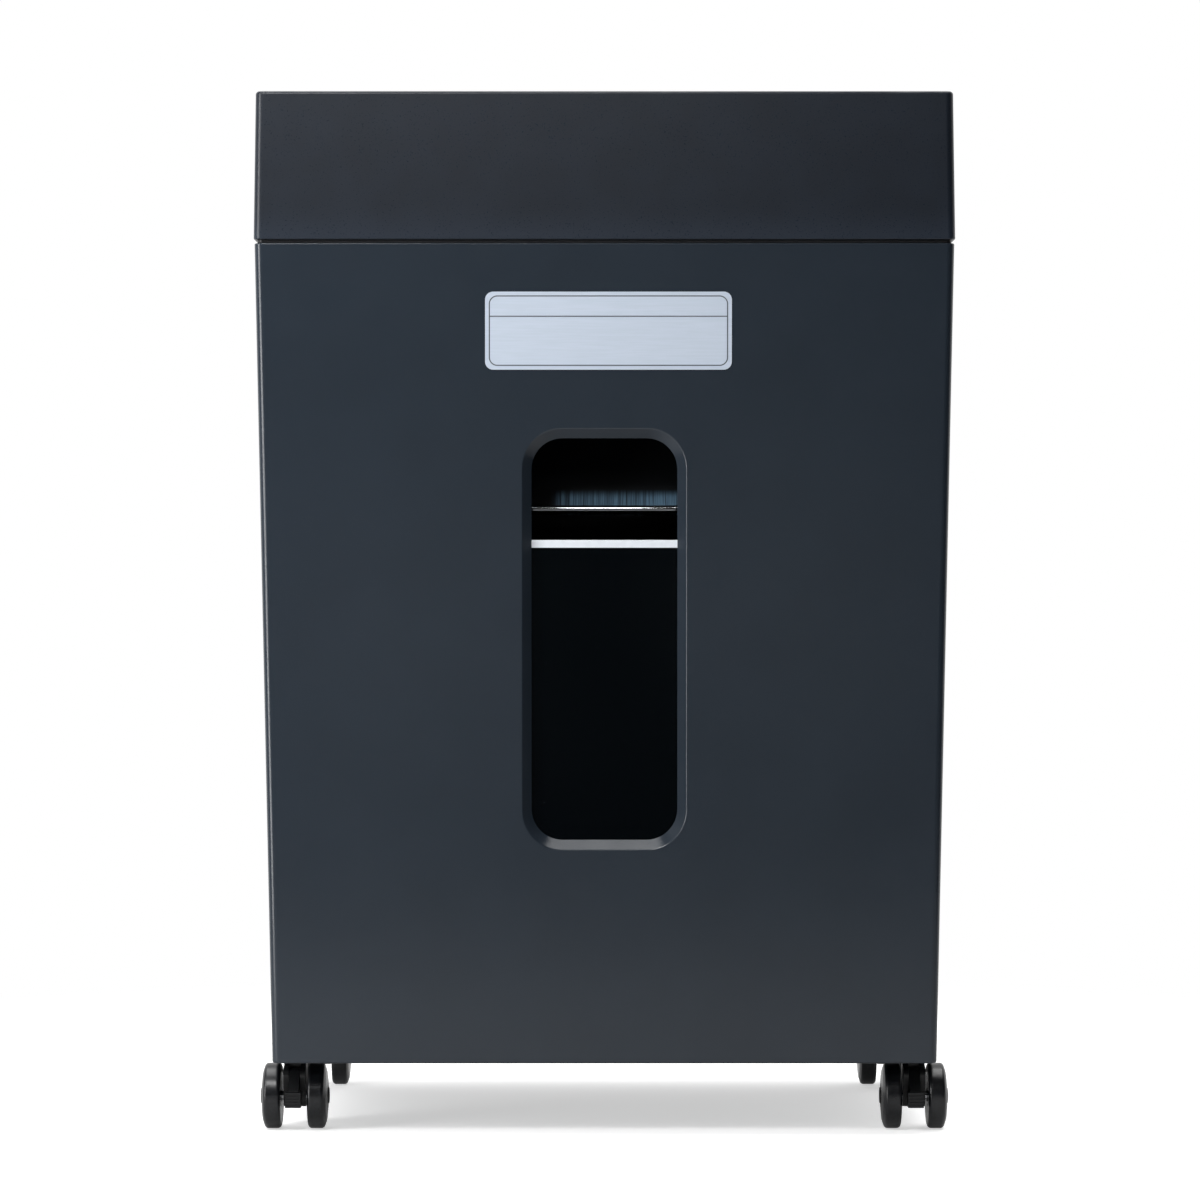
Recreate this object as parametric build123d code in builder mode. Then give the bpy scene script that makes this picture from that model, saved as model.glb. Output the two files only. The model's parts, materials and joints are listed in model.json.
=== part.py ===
"""Office paper shredder on casters, in millimetres.

The origin lies on the floor under the middle of the machine. +Z is up and the front faces -Y.
The head on top holds the throat, the cutters, the gears and the motor. The cabinet below it
holds the pull-out bin, whose front is the tall panel with the window.
"""
import math
import os

from build123d import *

os.makedirs("parts", exist_ok=True)

# Clearances, and how far cuts and joined shapes run past each other
SEAT_GAP = 0.02
RUNNING_GAP = 0.05
CASTER_GAP = 0.06
SLIVER = 0.01
OVERLAP = 0.5
PAST_EDGE = 1.0
CUT_DEPTH = 400.0
CUT_SIZE = (600.0, 1400.0)

# Body: a tapered box that is cut into the cabinet and the front panel of the bin
BODY_FOOT_Z = 45.0
BODY_RIM_Z = 560.5
BODY_FOOT_SIZE = (418.4, 308.4)
BODY_RIM_SIZE = (439.0, 329.0)
BODY_CORNER = 5.0
BODY_WALL = 3.2
FLOOR_THICKNESS = 4.0
FLOOR_TOP_Z = BODY_FOOT_Z + FLOOR_THICKNESS
PANEL_DEPTH = 19.4
PANEL_GAP = 1.2
PANEL_TOP_Z = 560.1
FOOT_EASE = 1.5
RIM_EASE = 0.8
TIE_BAR_SPOT = (0.0, -135.0, 551.0)
TIE_BAR_SIZE = (433.0, 14.0, 18.0)
BACK_RIB_SPOT = (0.0, 157.5, 388.5)
BACK_RIB_SIZE = (425.0, 6.0, 6.0)
INTERLOCK_SPOT = (150.0, -135.0, 535.0)
INTERLOCK_SIZE = (20.0, 8.0, 14.0)
PLUNGER_SPOT = (150.0, -139.5, 538.0)
PLUNGER_SIZE = (5.0, 3.0, 4.0)

# Head: cover, base slab and deck
HEAD_FOOT_Z = 562.5
HEAD_TOP_Z = 655.5
HEAD_FOOT_SIZE = (440.0, 330.0)
HEAD_TOP_SIZE = (437.5, 327.5)
HEAD_CORNER = 5.0
HEAD_WALL = 3.0
TOP_INSIDE_Z = HEAD_TOP_Z - HEAD_WALL
HEAD_TOP_EASE = 2.0
DECK_Z = 565.5
SLAB_SIZE = (435.0, 325.0, 3.0)
DECK_SIZE = (432.8, 322.8, 2.0)
OUTLET_SIZE = (316.0, 104.0, 4.0)
COVER_SCREW_SPOTS = [(x, y) for x in (-206.0, 206.0) for y in (-151.0, 151.0)]
COVER_SCREW_HEAD = (3.5, 2.2)
COVER_SCREW_SHANK = (2.0, 20.0)
COVER_SCREW_SEAT = (3.8, 2.4)
COVER_SCREW_HOLE = 2.2
COVER_SCREW_SUNK = 0.2
COVER_BOSS_RADIUS = 5.0
COVER_BOSS_HOLE = 18.0
VENT_SLOTS = [20.0 + 7.0 * index for index in range(18)]
VENT_SIZE = (3.0, 12.0, 34.0)
VENT_Y = 163.0

# Window in the front panel, with the hand hole above the pane
WINDOW_MID_Z = 311.8
WINDOW_OUTER = (103.3, 264.8, 25.0)
WINDOW_INNER = (91.7, 252.6, 19.5)
BEVEL_DEPTH = 6.0
BEVEL_EASE = 1.2
PANE_TOP_Z = 369.2
PANE_MARGIN = 4.0
PANE_THICKNESS = 2.6
STRIP_HEIGHT = 5.0
STRIP_PROUD = 0.8
STRIP_EASE = 1.0
PANE_GAP = 0.1
WINDOW_CUT = 20.0
COLLAR_START = 2.5
COLLAR_WALL = 3.0
COLLAR_DEPTH = 13.0

# Waste bin
BIN_FOOT_Z = 54.0
BIN_RIM_Z = 372.0
BIN_WALL = 2.5
BIN_DEPTH_BEHIND_FACE = 16.0
BIN_CORNER = 12.0
BIN_HALF_WIDTHS = (182.0, 192.0)
BIN_BACKS = (142.0, 148.0)
BIN_RIM_HEIGHT = 3.0
BIN_RIM_FLARE = 4.0
BIN_NOTCH_MARGIN = 5.0
BIN_CUT_START = 2.0
BIN_NOTCH_DEPTH = 8.0
RAIL_Y = 6.0
RAIL_SIZE = (22.0, 268.0, 4.6)
GROOVE_SIZE = (16.0, 270.0, 5.0)
GROOVE_FLOOR = 2.0
GLIDE_X = 120.0
GLIDE_SIZE = (15.4, 262.0, 2.7)
PANEL_BOSS_RADIUS = 5.0
PANEL_BOSS_START = 3.0
PANEL_SCREW_RADIUS = 2.0
PANEL_SCREW_HEAD = (4.0, 2.2)
PANEL_SCREW_LENGTH = 11.5
PANEL_SCREW_HOLE = 2.1
PANEL_SCREW_HOLE_DEPTH = 14.0
PANEL_SCREW_SPOTS = [(x, z) for x in (-150.0, 150.0) for z in (92.0, 212.0, 336.0)]

# Exit chute: pairs are at the lip and at the cabinet's rim
CHUTE_LIP_Z = 394.5
CHUTE_HALF_WIDTHS = (168.0, 164.0)
CHUTE_FRONTS = (-121.0, -60.0)
CHUTE_BACKS = (68.0, 60.0)
CHUTE_CORNER = 6.0
CHUTE_WALL = 2.5
CHUTE_FLANGE = (172.0, 68.0, 6.0)
CHUTE_FLANGE_THICKNESS = 2.0
LIP_BEAD_RADIUS = 2.6
LIP_BEAD_LENGTH = 318.0
LIP_BEAD_SUNK = 0.2

# Cutting block: all shafts lie along X at one height; pairs are for the left and the right plate
AXIS_Z = 606.0
CUTTER_Y = 22.0
DISC_RADIUS = 26.0
DISC_THICKNESS = 3.6
HUB_RADIUS = 16.0
DISC_PITCH = 8.0
HUB_LENGTH = 7.96
HEX_ACROSS = 16.0
HEX_GAP = 0.03
HEX_LENGTH = 312.0
HEX_FLAT = 60.0
HOOKS = 4
HOOK_OUTLINE = [(1.0, -0.4), (-3.8, 0.4), (-2.2, 4.0), (1.0, 11.0)]
JOURNAL_RADIUS = 8.0
JOURNAL_PROUD = 2.5
LEFT_END_PROUD = 4.0
FRONT_SHAFT_END_X = 175.5
REAR_SHAFT_END_X = 188.5
GEAR_SEAT_RADIUS = 7.0
PLATE_X = 157.0
PLATE_THICKNESS = 4.0
PLATE_FRONT_Y = -66.0
PLATE_BACKS = (66.0, 152.0)
PLATE_FEET = ((-60.0, 60.0), (-60.0, 115.0))
PLATE_TOP_Z = 644.0
PLATE_CORNER = 6.0
PLATE_NOTCH = (56.0, 24.0)
PLATE_FOOT_SIZE = (16.0, 12.0, 2.0)
PLATE_FOOT_OUT = 6.0
ROD_RADIUS = 4.0
ROD_PROUD = 1.0
ROD_SPOTS = [(y, z) for y in (-54.0, 54.0) for z in (578.0, 634.0)]
BUSH_RADIUS = 11.0
BUSH_FLANGE = (13.5, 1.2)
FINGER_START = 10.0
FINGER_END = 42.0
FINGER_HEIGHT = 28.0
FINGER_THICKNESS = 3.4
FINGER_HUB_GAP = 1.0
COMB_BAR_OUT = 39.0
COMB_BAR_SIZE = (6.0, 26.0)
FRONT_DISCS = [-152.0 + DISC_PITCH * index for index in range(39)]
REAR_DISCS = [-148.0 + DISC_PITCH * index for index in range(38)]

# Gear train on the right-hand side; a tooth's root, tip and sunken foot are shares of the module
PRESSURE_ANGLE = math.radians(25.0)
TOOTH_ROOT = 1.25
TOOTH_TIP = 0.95
TOOTH_SUNK = 0.3
SYNC_TEETH = 22
DRIVE_TEETH = 36
IDLER_SMALL_TEETH = 12
IDLER_LARGE_TEETH = 60
PINION_TEETH = 12
COARSE_MODULE = 2.0
FINE_MODULE = 1.25
COARSE_BACKLASH = 0.30
FINE_BACKLASH = 0.24
IDLER_Y = CUTTER_Y + (DRIVE_TEETH + IDLER_SMALL_TEETH) * COARSE_MODULE / 2
MOTOR_Y = IDLER_Y + (IDLER_LARGE_TEETH + PINION_TEETH) * FINE_MODULE / 2
SYNC_X = 164.0
SYNC_WIDTH = 10.0
DRIVE_X = 177.0
DRIVE_WIDTH = 10.0
DRIVE_HUB_RADIUS = 12.0
IDLER_X = 176.0
IDLER_WIDTH = 12.0
IDLER_HUB_RADIUS = 9.0
IDLER_AXLE_RADIUS = 5.0
FINE_X = 190.0
FINE_WIDTH = 7.0
GEAR_COVER_X = 201.0
GEAR_COVER_START_X = 163.5
GEAR_COVER_Y = 41.0
GEAR_COVER_SIZE = (186.0, 83.0)
GEAR_COVER_WALL = 2.0
GEAR_COVER_FACE = 2.5
GEAR_COVER_EASE = 8.0
MOTOR_RADIUS = 36.0
MOTOR_CAN = (50.0, 100.0)
MOTOR_CAP_RADIUS = 33.0
MOTOR_NOSE_HOLE = 14.0
MOTOR_CAPS = (43.0, 114.0)
MOTOR_FOOT_X = 100.0
MOTOR_FOOT_SIZE = (70.0, 46.0, 14.0)
MOTOR_BORE_X = 120.0
MOTOR_SHAFT_RADIUS = 5.0
MOTOR_SHAFT = (120.5, 78.0)

# Throat
THROAT_OPENING = (326.0, 46.0)
THROAT_CORNER = 9.0
SLOT_OPENING = (304.0, 8.0)
SLOT_CORNER = 3.0
LINER_FLANGE = (171.0, 31.0, 10.0)
LINER_FLANGE_THICKNESS = 2.5
LINER_WALL = 2.0
SENSOR_SIZE = (14.0, 8.4, 3.2)
SENSOR_Y = 10.3
SENSOR_LIFT = 0.3
LIP_Z = 632.0
FUNNEL_FOOT_Z = 636.0

# Top and rear controls
PANEL_SPOT = (118.0, -112.0)
CONTROL_SIZE = (120.0, 34.0)
CONTROL_CORNER = 6.0
CONTROL_GAP = 0.1
CONTROL_POCKET = 2.3
CONTROL_THICKNESS = 1.5
PAD_THICKNESS = 2.5
PAD_MARGIN = 3.0
TOP_CUT = 12.0
BUTTON_OFFSETS = {"power_button": -10.0, "reverse_button": 16.0, "forward_button": 42.0}
BUTTON_RADIUS = 6.0
BUTTON_HOLE = 6.3
BUTTON_SUNK = 0.1
BUTTON_EASE = 0.6
BUTTON_FLANGE = (7.5, 1.7)
BUTTON_FLANGE_GAP = 0.3
BUTTON_STEM = (2.5, 4.0)
BUTTON_STEM_Z = 646.0
LENS_OFFSETS = (-46.0, -37.0, -28.0)
LENS_RADIUS = 1.6
LENS_GAP = 0.05
LENS_PROUD = 0.3
BOARD_THICKNESS = 1.6
KEY_BOARD_SIZE = (112.0, 32.0)
KEY_BOARD_Z = 638.0
KEY_SWITCH_SIZE = (6.0, 6.0, 4.4)
MAIN_BOARD_SIZE = (130.0, 66.0)
MAIN_BOARD_SPOT = (-85.0, 110.0)
POST_SIZE = (3.5, 12.0)
POST_SPOTS = [(x, y) for x in (-145.0, -25.0) for y in (82.0, 138.0)]
RELAY_SIZE = (19.0, 16.0, 15.0)
RELAY_SPOTS = [(-125.0, 100.0), (-98.0, 100.0)]
TRANSFORMER_SIZE = (34.0, 30.0, 26.0)
TRANSFORMER_SPOT = (-48.0, 108.0)
CAPACITOR_SIZE = (8.0, 24.0)
CAPACITOR_SPOTS = [(-80.0, 128.0), (-108.0, 128.0)]
REAR_POCKET_SPOT = (-167.0, 603.0)
REAR_POCKET_SIZE = (84.0, 34.0)
REAR_POCKET_FLOOR_Y = 160.4
REAR_POCKET_CUT = 10.0
REAR_BLOCK_Y = 160.0
REAR_BLOCK_DEPTH = 6.0
REAR_HOLE_Y = 158.0
SWITCH_HOLE = (20.4, 16.0, 26.4)
SWITCH_BEZEL = (25.0, 1.4, 31.0)
SWITCH_BODY = (20.0, 20.0, 26.0)
SWITCH_BODY_Y = 151.0
SWITCH_WELL = (14.0, 13.0, 22.0)
SWITCH_WELL_Y = 157.5
SWITCH_X = -148.0
ROCKER_PIVOT_Y = 157.0
ROCKER_TILT = 8.0
ROCKER_PIN_RADIUS = 1.5
ROCKER_PIN_LENGTH = 16.6
ROCKER_PIN_END_GAP = 0.4
ROCKER_WIDTH = 13.2
ROCKER_OUTLINE = [(5.2, -9.0), (4.2, 0.0), (5.2, 9.0), (0.0, 8.4), (-4.0, 3.0), (-4.0, -3.0), (0.0, -8.4)]
GLAND_X = -187.0
GLAND_BORE = 3.75
GLAND_HOLE = (7.0, 16.0)
GLAND_FLANGE = (9.5, 3.0)
GLAND_NECK = (6.9, 9.0)
GLAND_NECK_Y = 156.0
GLAND_NUT = (9.5, 6.4)
GLAND_NUT_Y = 153.5

# Casters
WHEEL_RADIUS = 20.75
CASTER_X = 197.0
STEM_Y = 101.0
CASTER_TRAIL = 17.0
YOKE_WIDTH = 14.0
YOKE_TOP_Z = 44.2
YOKE_AXLE_RADIUS = 7.0
YOKE_BLOCK_SIZE = (17.0, 14.0)
YOKE_BLOCK_Z = 36.0
YOKE_PIVOT_RADIUS = 5.2
YOKE_NECK_RADIUS = 8.5
YOKE_NECK_Z = 34.0
STEM_HOLE = (31.0, 20.0)
STEM_FOOT_Z = 31.2
STEM_TOP_Z = 68.0
WHEEL_INNER_X = 8.5
WHEEL_OUTER_X = 21.0
WHEEL_TREAD_X = 18.6
WHEEL_SHOULDER = (20.2, 16.0)
WHEEL_DOME_RADIUS = 8.0
WHEEL_EASE = 2.4
STEM_RADIUS = 4.0
AXLE_RADIUS = 3.0
AXLE_END_SUNK = 1.5
SOCKET_RADIUS = 6.5
SOCKET_LENGTH = 26.5
SOCKET_END_GAP = 0.5
SOCKET_BORE_DEPTH = 25.0
BOSS_RADIUS = 11.0
BOSS_FOOT_Z = 46.0
BOSS_TOP_Z = 76.0
CASTER_SPOTS = [(side * CASTER_X, end * STEM_Y) for side in (-1, 1) for end in (-1, 1)]
PEDAL_PIVOT_Z = 34.5
PEDAL_PIVOT_AHEAD = 5.0
PEDAL_SLOT = 7.2
PEDAL_SLOT_LENGTHS = (15.0, 10.0)
PEDAL_SLOT_HEIGHTS = (20.5, 24.0)
PEDAL_SLOT_SHIFT = (-1.5, 0.75)
PEDAL_SLOT_AHEAD = 9.6
PEDAL_SIDE_GAP = 0.3
PEDAL_EYE_RADIUS = 4.2
PEDAL_ARM_END = (17.0, 21.0)
PEDAL_ARM_RADIUS = 2.5
TRUNNION = (2.0, 10.8)
TRUNNION_END_GAP = 0.2
PEDAL_FOOT_SIZE = (9.8, 9.0, 9.6)
PEDAL_FOOT_AHEAD = 18.5
PEDAL_FOOT_Z = 15.4
PEDAL_GROOVES = 4
PEDAL_GROOVE_SIZE = (20.0, 1.2, 0.8)
PEDAL_GROOVE_START = 1.8
PEDAL_GROOVE_PITCH = 2.0

BODY_SLOPE = (BODY_RIM_SIZE[1] - BODY_FOOT_SIZE[1]) / 2 / (BODY_RIM_Z - BODY_FOOT_Z)
BOTTOM = (Align.CENTER, Align.CENTER, Align.MIN)
FROM_LEFT = (Align.MIN, Align.CENTER, Align.MIN)
FROM_TOP = (Align.CENTER, Align.CENTER, Align.MAX)


def save(builder, name):
    """Label a finished piece and write its file."""
    builder.part.label = name
    export_step(builder.part, f"parts/{name}.step")


def between(low, high, share):
    """The value at a share of the way from low to high."""
    return low + (high - low) * share


def rounded_section(z, x_low, x_high, y_low, y_high, radius):
    """A rounded rectangle at one height."""
    with BuildSketch(Plane.XY.offset(z)) as section:
        with Locations(((x_low + x_high) / 2, (y_low + y_high) / 2)):
            RectangleRounded(x_high - x_low, y_high - y_low, radius)
    return section.sketch


def centred_section(z, half_x, half_y, radius):
    """A rounded rectangle about the machine's middle at one height."""
    return rounded_section(z, -half_x, half_x, -half_y, half_y, radius)


def tapered_section(z, z_pair, size_low, size_high, corner, inset):
    """A level section through a box that grows from size_low to size_high."""
    share = (z - z_pair[0]) / (z_pair[1] - z_pair[0])
    half_x = between(size_low[0], size_high[0], share) / 2 - inset
    half_y = between(size_low[1], size_high[1], share) / 2 - inset
    return centred_section(z, half_x, half_y, max(corner - inset, 1.0))


def body_section(z, inset=0.0):
    """A level section through the tapered body."""
    return tapered_section(z, (BODY_FOOT_Z, BODY_RIM_Z), BODY_FOOT_SIZE, BODY_RIM_SIZE, BODY_CORNER, inset)


def head_section(z, inset=0.0):
    """A level section through the head."""
    return tapered_section(z, (HEAD_FOOT_Z, HEAD_TOP_Z), HEAD_FOOT_SIZE, HEAD_TOP_SIZE, HEAD_CORNER, inset)


def front_y(z):
    """Where the leaning front face of the body lies at one height."""
    return -BODY_FOOT_SIZE[1] / 2 - (z - BODY_FOOT_Z) * BODY_SLOPE


def face_plane(depth):
    """A plane that is parallel to the front face and lies behind it; its own y is the height."""
    lean = math.atan(BODY_SLOPE)
    face = Plane(origin=(0, front_y(0), 0), x_dir=(1, 0, 0), z_dir=(0, -math.cos(lean), -math.sin(lean)))
    return face.offset(-depth)


def window_section(depth, size, grow=0.0):
    """The window outline on a plane behind the front face."""
    with BuildSketch(face_plane(depth)) as section:
        with Locations((0, WINDOW_MID_Z)):
            RectangleRounded(size[0] + 2 * grow, size[1] + 2 * grow, size[2] + grow)
    return section.sketch


def on_window_rim(point):
    """Whether a point of the front face lies on the bevel's outer edge."""
    across = abs(point.X) < WINDOW_OUTER[0] / 2 + 1
    along = abs(point.Z - WINDOW_MID_Z) < WINDOW_OUTER[1] / 2 + 1
    return across and along and abs(point.Y - front_y(point.Z)) < 0.05


def lower_window_section(depth, grow, top_z):
    """The window outline below a given height, for the pane and its seat."""
    bottom_z = WINDOW_MID_Z - WINDOW_INNER[1] / 2 - grow
    with BuildSketch(face_plane(depth)) as section:
        with Locations((0, WINDOW_MID_Z)):
            RectangleRounded(WINDOW_INNER[0] + 2 * grow, WINDOW_INNER[1] + 2 * grow, WINDOW_INNER[2] + grow)
        with Locations((0, (bottom_z + top_z) / 2)):
            Rectangle(WINDOW_INNER[0] + 4 * grow, top_z - bottom_z, mode=Mode.INTERSECT)
    return section.sketch


def bin_section(z, inset=0.0, flare=0.0):
    """A level section through the waste bin; flare widens the sides and the back only."""
    share = (z - BIN_FOOT_Z) / (BIN_RIM_Z - BIN_FOOT_Z)
    half_x = between(*BIN_HALF_WIDTHS, share) - inset + flare
    front = front_y(z) + BIN_DEPTH_BEHIND_FACE + inset
    back = between(*BIN_BACKS, share) - inset + flare
    return rounded_section(z, -half_x, half_x, front, back, BIN_CORNER - inset)


def chute_section(z, inset=0.0):
    """A level section through the exit chute, which widens downwards and towards the front."""
    share = (z - CHUTE_LIP_Z) / (BODY_RIM_Z - CHUTE_LIP_Z)
    half_x = between(*CHUTE_HALF_WIDTHS, share) - inset
    front = between(*CHUTE_FRONTS, share) + inset
    back = between(*CHUTE_BACKS, share) - inset
    return rounded_section(z, -half_x, half_x, front, back, CHUTE_CORNER - inset)


def throat_section(z, opening, corner, wall=0.0):
    """A level section through the throat's funnel, or round the outside of its wall."""
    return centred_section(z, opening[0] / 2 + wall, opening[1] / 2 + wall, corner + wall / 2)


def disc_on_shaft(x, y, radius):
    """A circle across the shafts at one place."""
    with BuildSketch(Plane.YZ.offset(x)) as section:
        with Locations((y, AXIS_Z)):
            Circle(radius)
    return section.sketch


def gear_tooth(teeth, module, backlash):
    """One tooth that points along x, sunk a little into the root circle."""
    pitch_radius = teeth * module / 2
    base_radius = pitch_radius * math.cos(PRESSURE_ANGLE)
    root_radius = pitch_radius - TOOTH_ROOT * module
    tip_radius = pitch_radius + TOOTH_TIP * module
    half_at_pitch = (math.pi * module - backlash) / 4 / pitch_radius

    def involute(angle):
        return math.tan(angle) - angle

    def flank_point(radius, side):
        roll = math.acos(min(1.0, base_radius / radius))
        half = half_at_pitch + involute(PRESSURE_ANGLE) - involute(roll)
        return (radius * math.cos(half), side * radius * math.sin(half))

    start = max(base_radius, root_radius)
    sunk = root_radius - TOOTH_SUNK * module
    with BuildSketch() as tooth:
        with BuildLine():
            for side in (-1, 1):
                foot = flank_point(start, side)
                tip = flank_point(tip_radius, side)
                ThreePointArc(foot, flank_point((start + tip_radius) / 2, side), tip)
                shrink = sunk / start
                Line(foot, (foot[0] * shrink, foot[1] * shrink))
            Line(flank_point(tip_radius, -1), flank_point(tip_radius, 1))
            low, high = flank_point(start, -1), flank_point(start, 1)
            Line((low[0] * shrink, low[1] * shrink), (high[0] * shrink, high[1] * shrink))
        make_face()
    return tooth.sketch


def gear_outline(x, y, teeth, module, backlash, first_tooth):
    """A toothed outline across the shafts; first_tooth is the angle of one tooth, from +Y towards +Z."""
    tooth = gear_tooth(teeth, module, backlash)
    with BuildSketch(Plane.YZ.offset(x)) as outline:
        with Locations((y, AXIS_Z)):
            Circle(teeth * module / 2 - TOOTH_ROOT * module)
            with PolarLocations(0, teeth, start_angle=first_tooth):
                add(tooth)
    return outline.sketch


def half_pitch(teeth):
    """Half the angle from tooth to tooth."""
    return 180.0 / teeth


# Cabinet shell: sides, back and floor, with caster bosses, a rib at the back and a tie bar in front
with BuildPart() as cabinet_shell:
    loft([body_section(BODY_FOOT_Z), body_section(BODY_RIM_Z)])
    fillet(cabinet_shell.edges().group_by(Axis.Z)[0], FOOT_EASE)
    fillet(cabinet_shell.edges().group_by(Axis.Z)[-1], RIM_EASE)
    loft([body_section(FLOOR_TOP_Z, BODY_WALL), body_section(BODY_RIM_Z + PAST_EDGE, BODY_WALL)],
         mode=Mode.SUBTRACT)
    with BuildSketch(face_plane(PANEL_DEPTH + PANEL_GAP)):
        Rectangle(*CUT_SIZE)
    extrude(amount=CUT_DEPTH, mode=Mode.SUBTRACT)
    with Locations(*[(x, y, BOSS_FOOT_Z) for x, y in CASTER_SPOTS]):
        Cylinder(BOSS_RADIUS, BOSS_TOP_Z - BOSS_FOOT_Z, align=BOTTOM)
    with Locations(TIE_BAR_SPOT):
        Box(*TIE_BAR_SIZE)
    with Locations(BACK_RIB_SPOT):
        Box(*BACK_RIB_SIZE)
    with Locations(*[(x, y, BODY_FOOT_Z) for x, y in CASTER_SPOTS]):
        Cylinder(SOCKET_RADIUS + SEAT_GAP, SOCKET_LENGTH + SOCKET_END_GAP, align=BOTTOM, mode=Mode.SUBTRACT)
save(cabinet_shell, "cabinet_shell")

with BuildPart() as caster_sockets:
    with Locations(*[(x, y, BODY_FOOT_Z) for x, y in CASTER_SPOTS]):
        Cylinder(SOCKET_RADIUS, SOCKET_LENGTH, align=BOTTOM)
        Cylinder(STEM_RADIUS + CASTER_GAP, SOCKET_BORE_DEPTH, align=BOTTOM, mode=Mode.SUBTRACT)
save(caster_sockets, "caster_sockets")

with BuildPart() as bin_rails:
    with Locations(*[(x, RAIL_Y, FLOOR_TOP_Z) for x in (-GLIDE_X, GLIDE_X)]):
        Box(*RAIL_SIZE, align=BOTTOM)
    with Locations(*[(x, RAIL_Y, FLOOR_TOP_Z + GROOVE_FLOOR) for x in (-GLIDE_X, GLIDE_X)]):
        Box(*GROOVE_SIZE, align=BOTTOM, mode=Mode.SUBTRACT)
save(bin_rails, "bin_rails")

with BuildPart() as interlock_switch:
    with Locations(INTERLOCK_SPOT):
        Box(*INTERLOCK_SIZE)
    with Locations(PLUNGER_SPOT):
        Box(*PLUNGER_SIZE)
save(interlock_switch, "interlock_switch")

# Head base: a slab on the cabinet's rim, set back to leave a shadow gap, and a deck inside the cover
with BuildPart() as head_base:
    with BuildSketch(Plane.XY.offset(BODY_RIM_Z)):
        RectangleRounded(*SLAB_SIZE)
    extrude(amount=HEAD_FOOT_Z - BODY_RIM_Z)
    with BuildSketch(Plane.XY.offset(HEAD_FOOT_Z)):
        RectangleRounded(*DECK_SIZE)
    extrude(amount=DECK_Z - HEAD_FOOT_Z)
    with BuildSketch(Plane.XY.offset(BODY_RIM_Z)):
        RectangleRounded(*OUTLET_SIZE)
    extrude(amount=CUT_DEPTH, mode=Mode.SUBTRACT)
    with Locations(*[(x, y, BODY_RIM_Z) for x, y in COVER_SCREW_SPOTS]):
        Cylinder(*COVER_SCREW_SEAT, align=BOTTOM, mode=Mode.SUBTRACT)
        Cylinder(COVER_SCREW_HOLE, CUT_DEPTH, align=BOTTOM, mode=Mode.SUBTRACT)
save(head_base, "head_base")

with BuildPart() as cover_screws:
    with Locations(*[(x, y, BODY_RIM_Z + COVER_SCREW_SUNK) for x, y in COVER_SCREW_SPOTS]):
        Cylinder(*COVER_SCREW_HEAD, align=BOTTOM)
        Cylinder(*COVER_SCREW_SHANK, align=BOTTOM)
save(cover_screws, "cover_screws")

with BuildPart() as exit_chute:
    loft([chute_section(CHUTE_LIP_Z), chute_section(BODY_RIM_Z)])
    extrude(centred_section(BODY_RIM_Z, *CHUTE_FLANGE), amount=-CHUTE_FLANGE_THICKNESS)
    with Locations((0, CHUTE_FRONTS[0] + LIP_BEAD_RADIUS - LIP_BEAD_SUNK, CHUTE_LIP_Z)):
        Cylinder(LIP_BEAD_RADIUS, LIP_BEAD_LENGTH, rotation=(0, 90, 0))
    loft([
        chute_section(CHUTE_LIP_Z - SLIVER, CHUTE_WALL),
        chute_section(BODY_RIM_Z + SLIVER, CHUTE_WALL),
    ], mode=Mode.SUBTRACT)
save(exit_chute, "exit_chute")

# Head cover: a thin box, open below, with the throat, the control pocket, the rear pocket and the vents
BUTTON_SPOTS = {name: (PANEL_SPOT[0] + offset, PANEL_SPOT[1]) for name, offset in BUTTON_OFFSETS.items()}
LENS_SPOTS = [(PANEL_SPOT[0] + offset, PANEL_SPOT[1]) for offset in LENS_OFFSETS]

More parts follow.
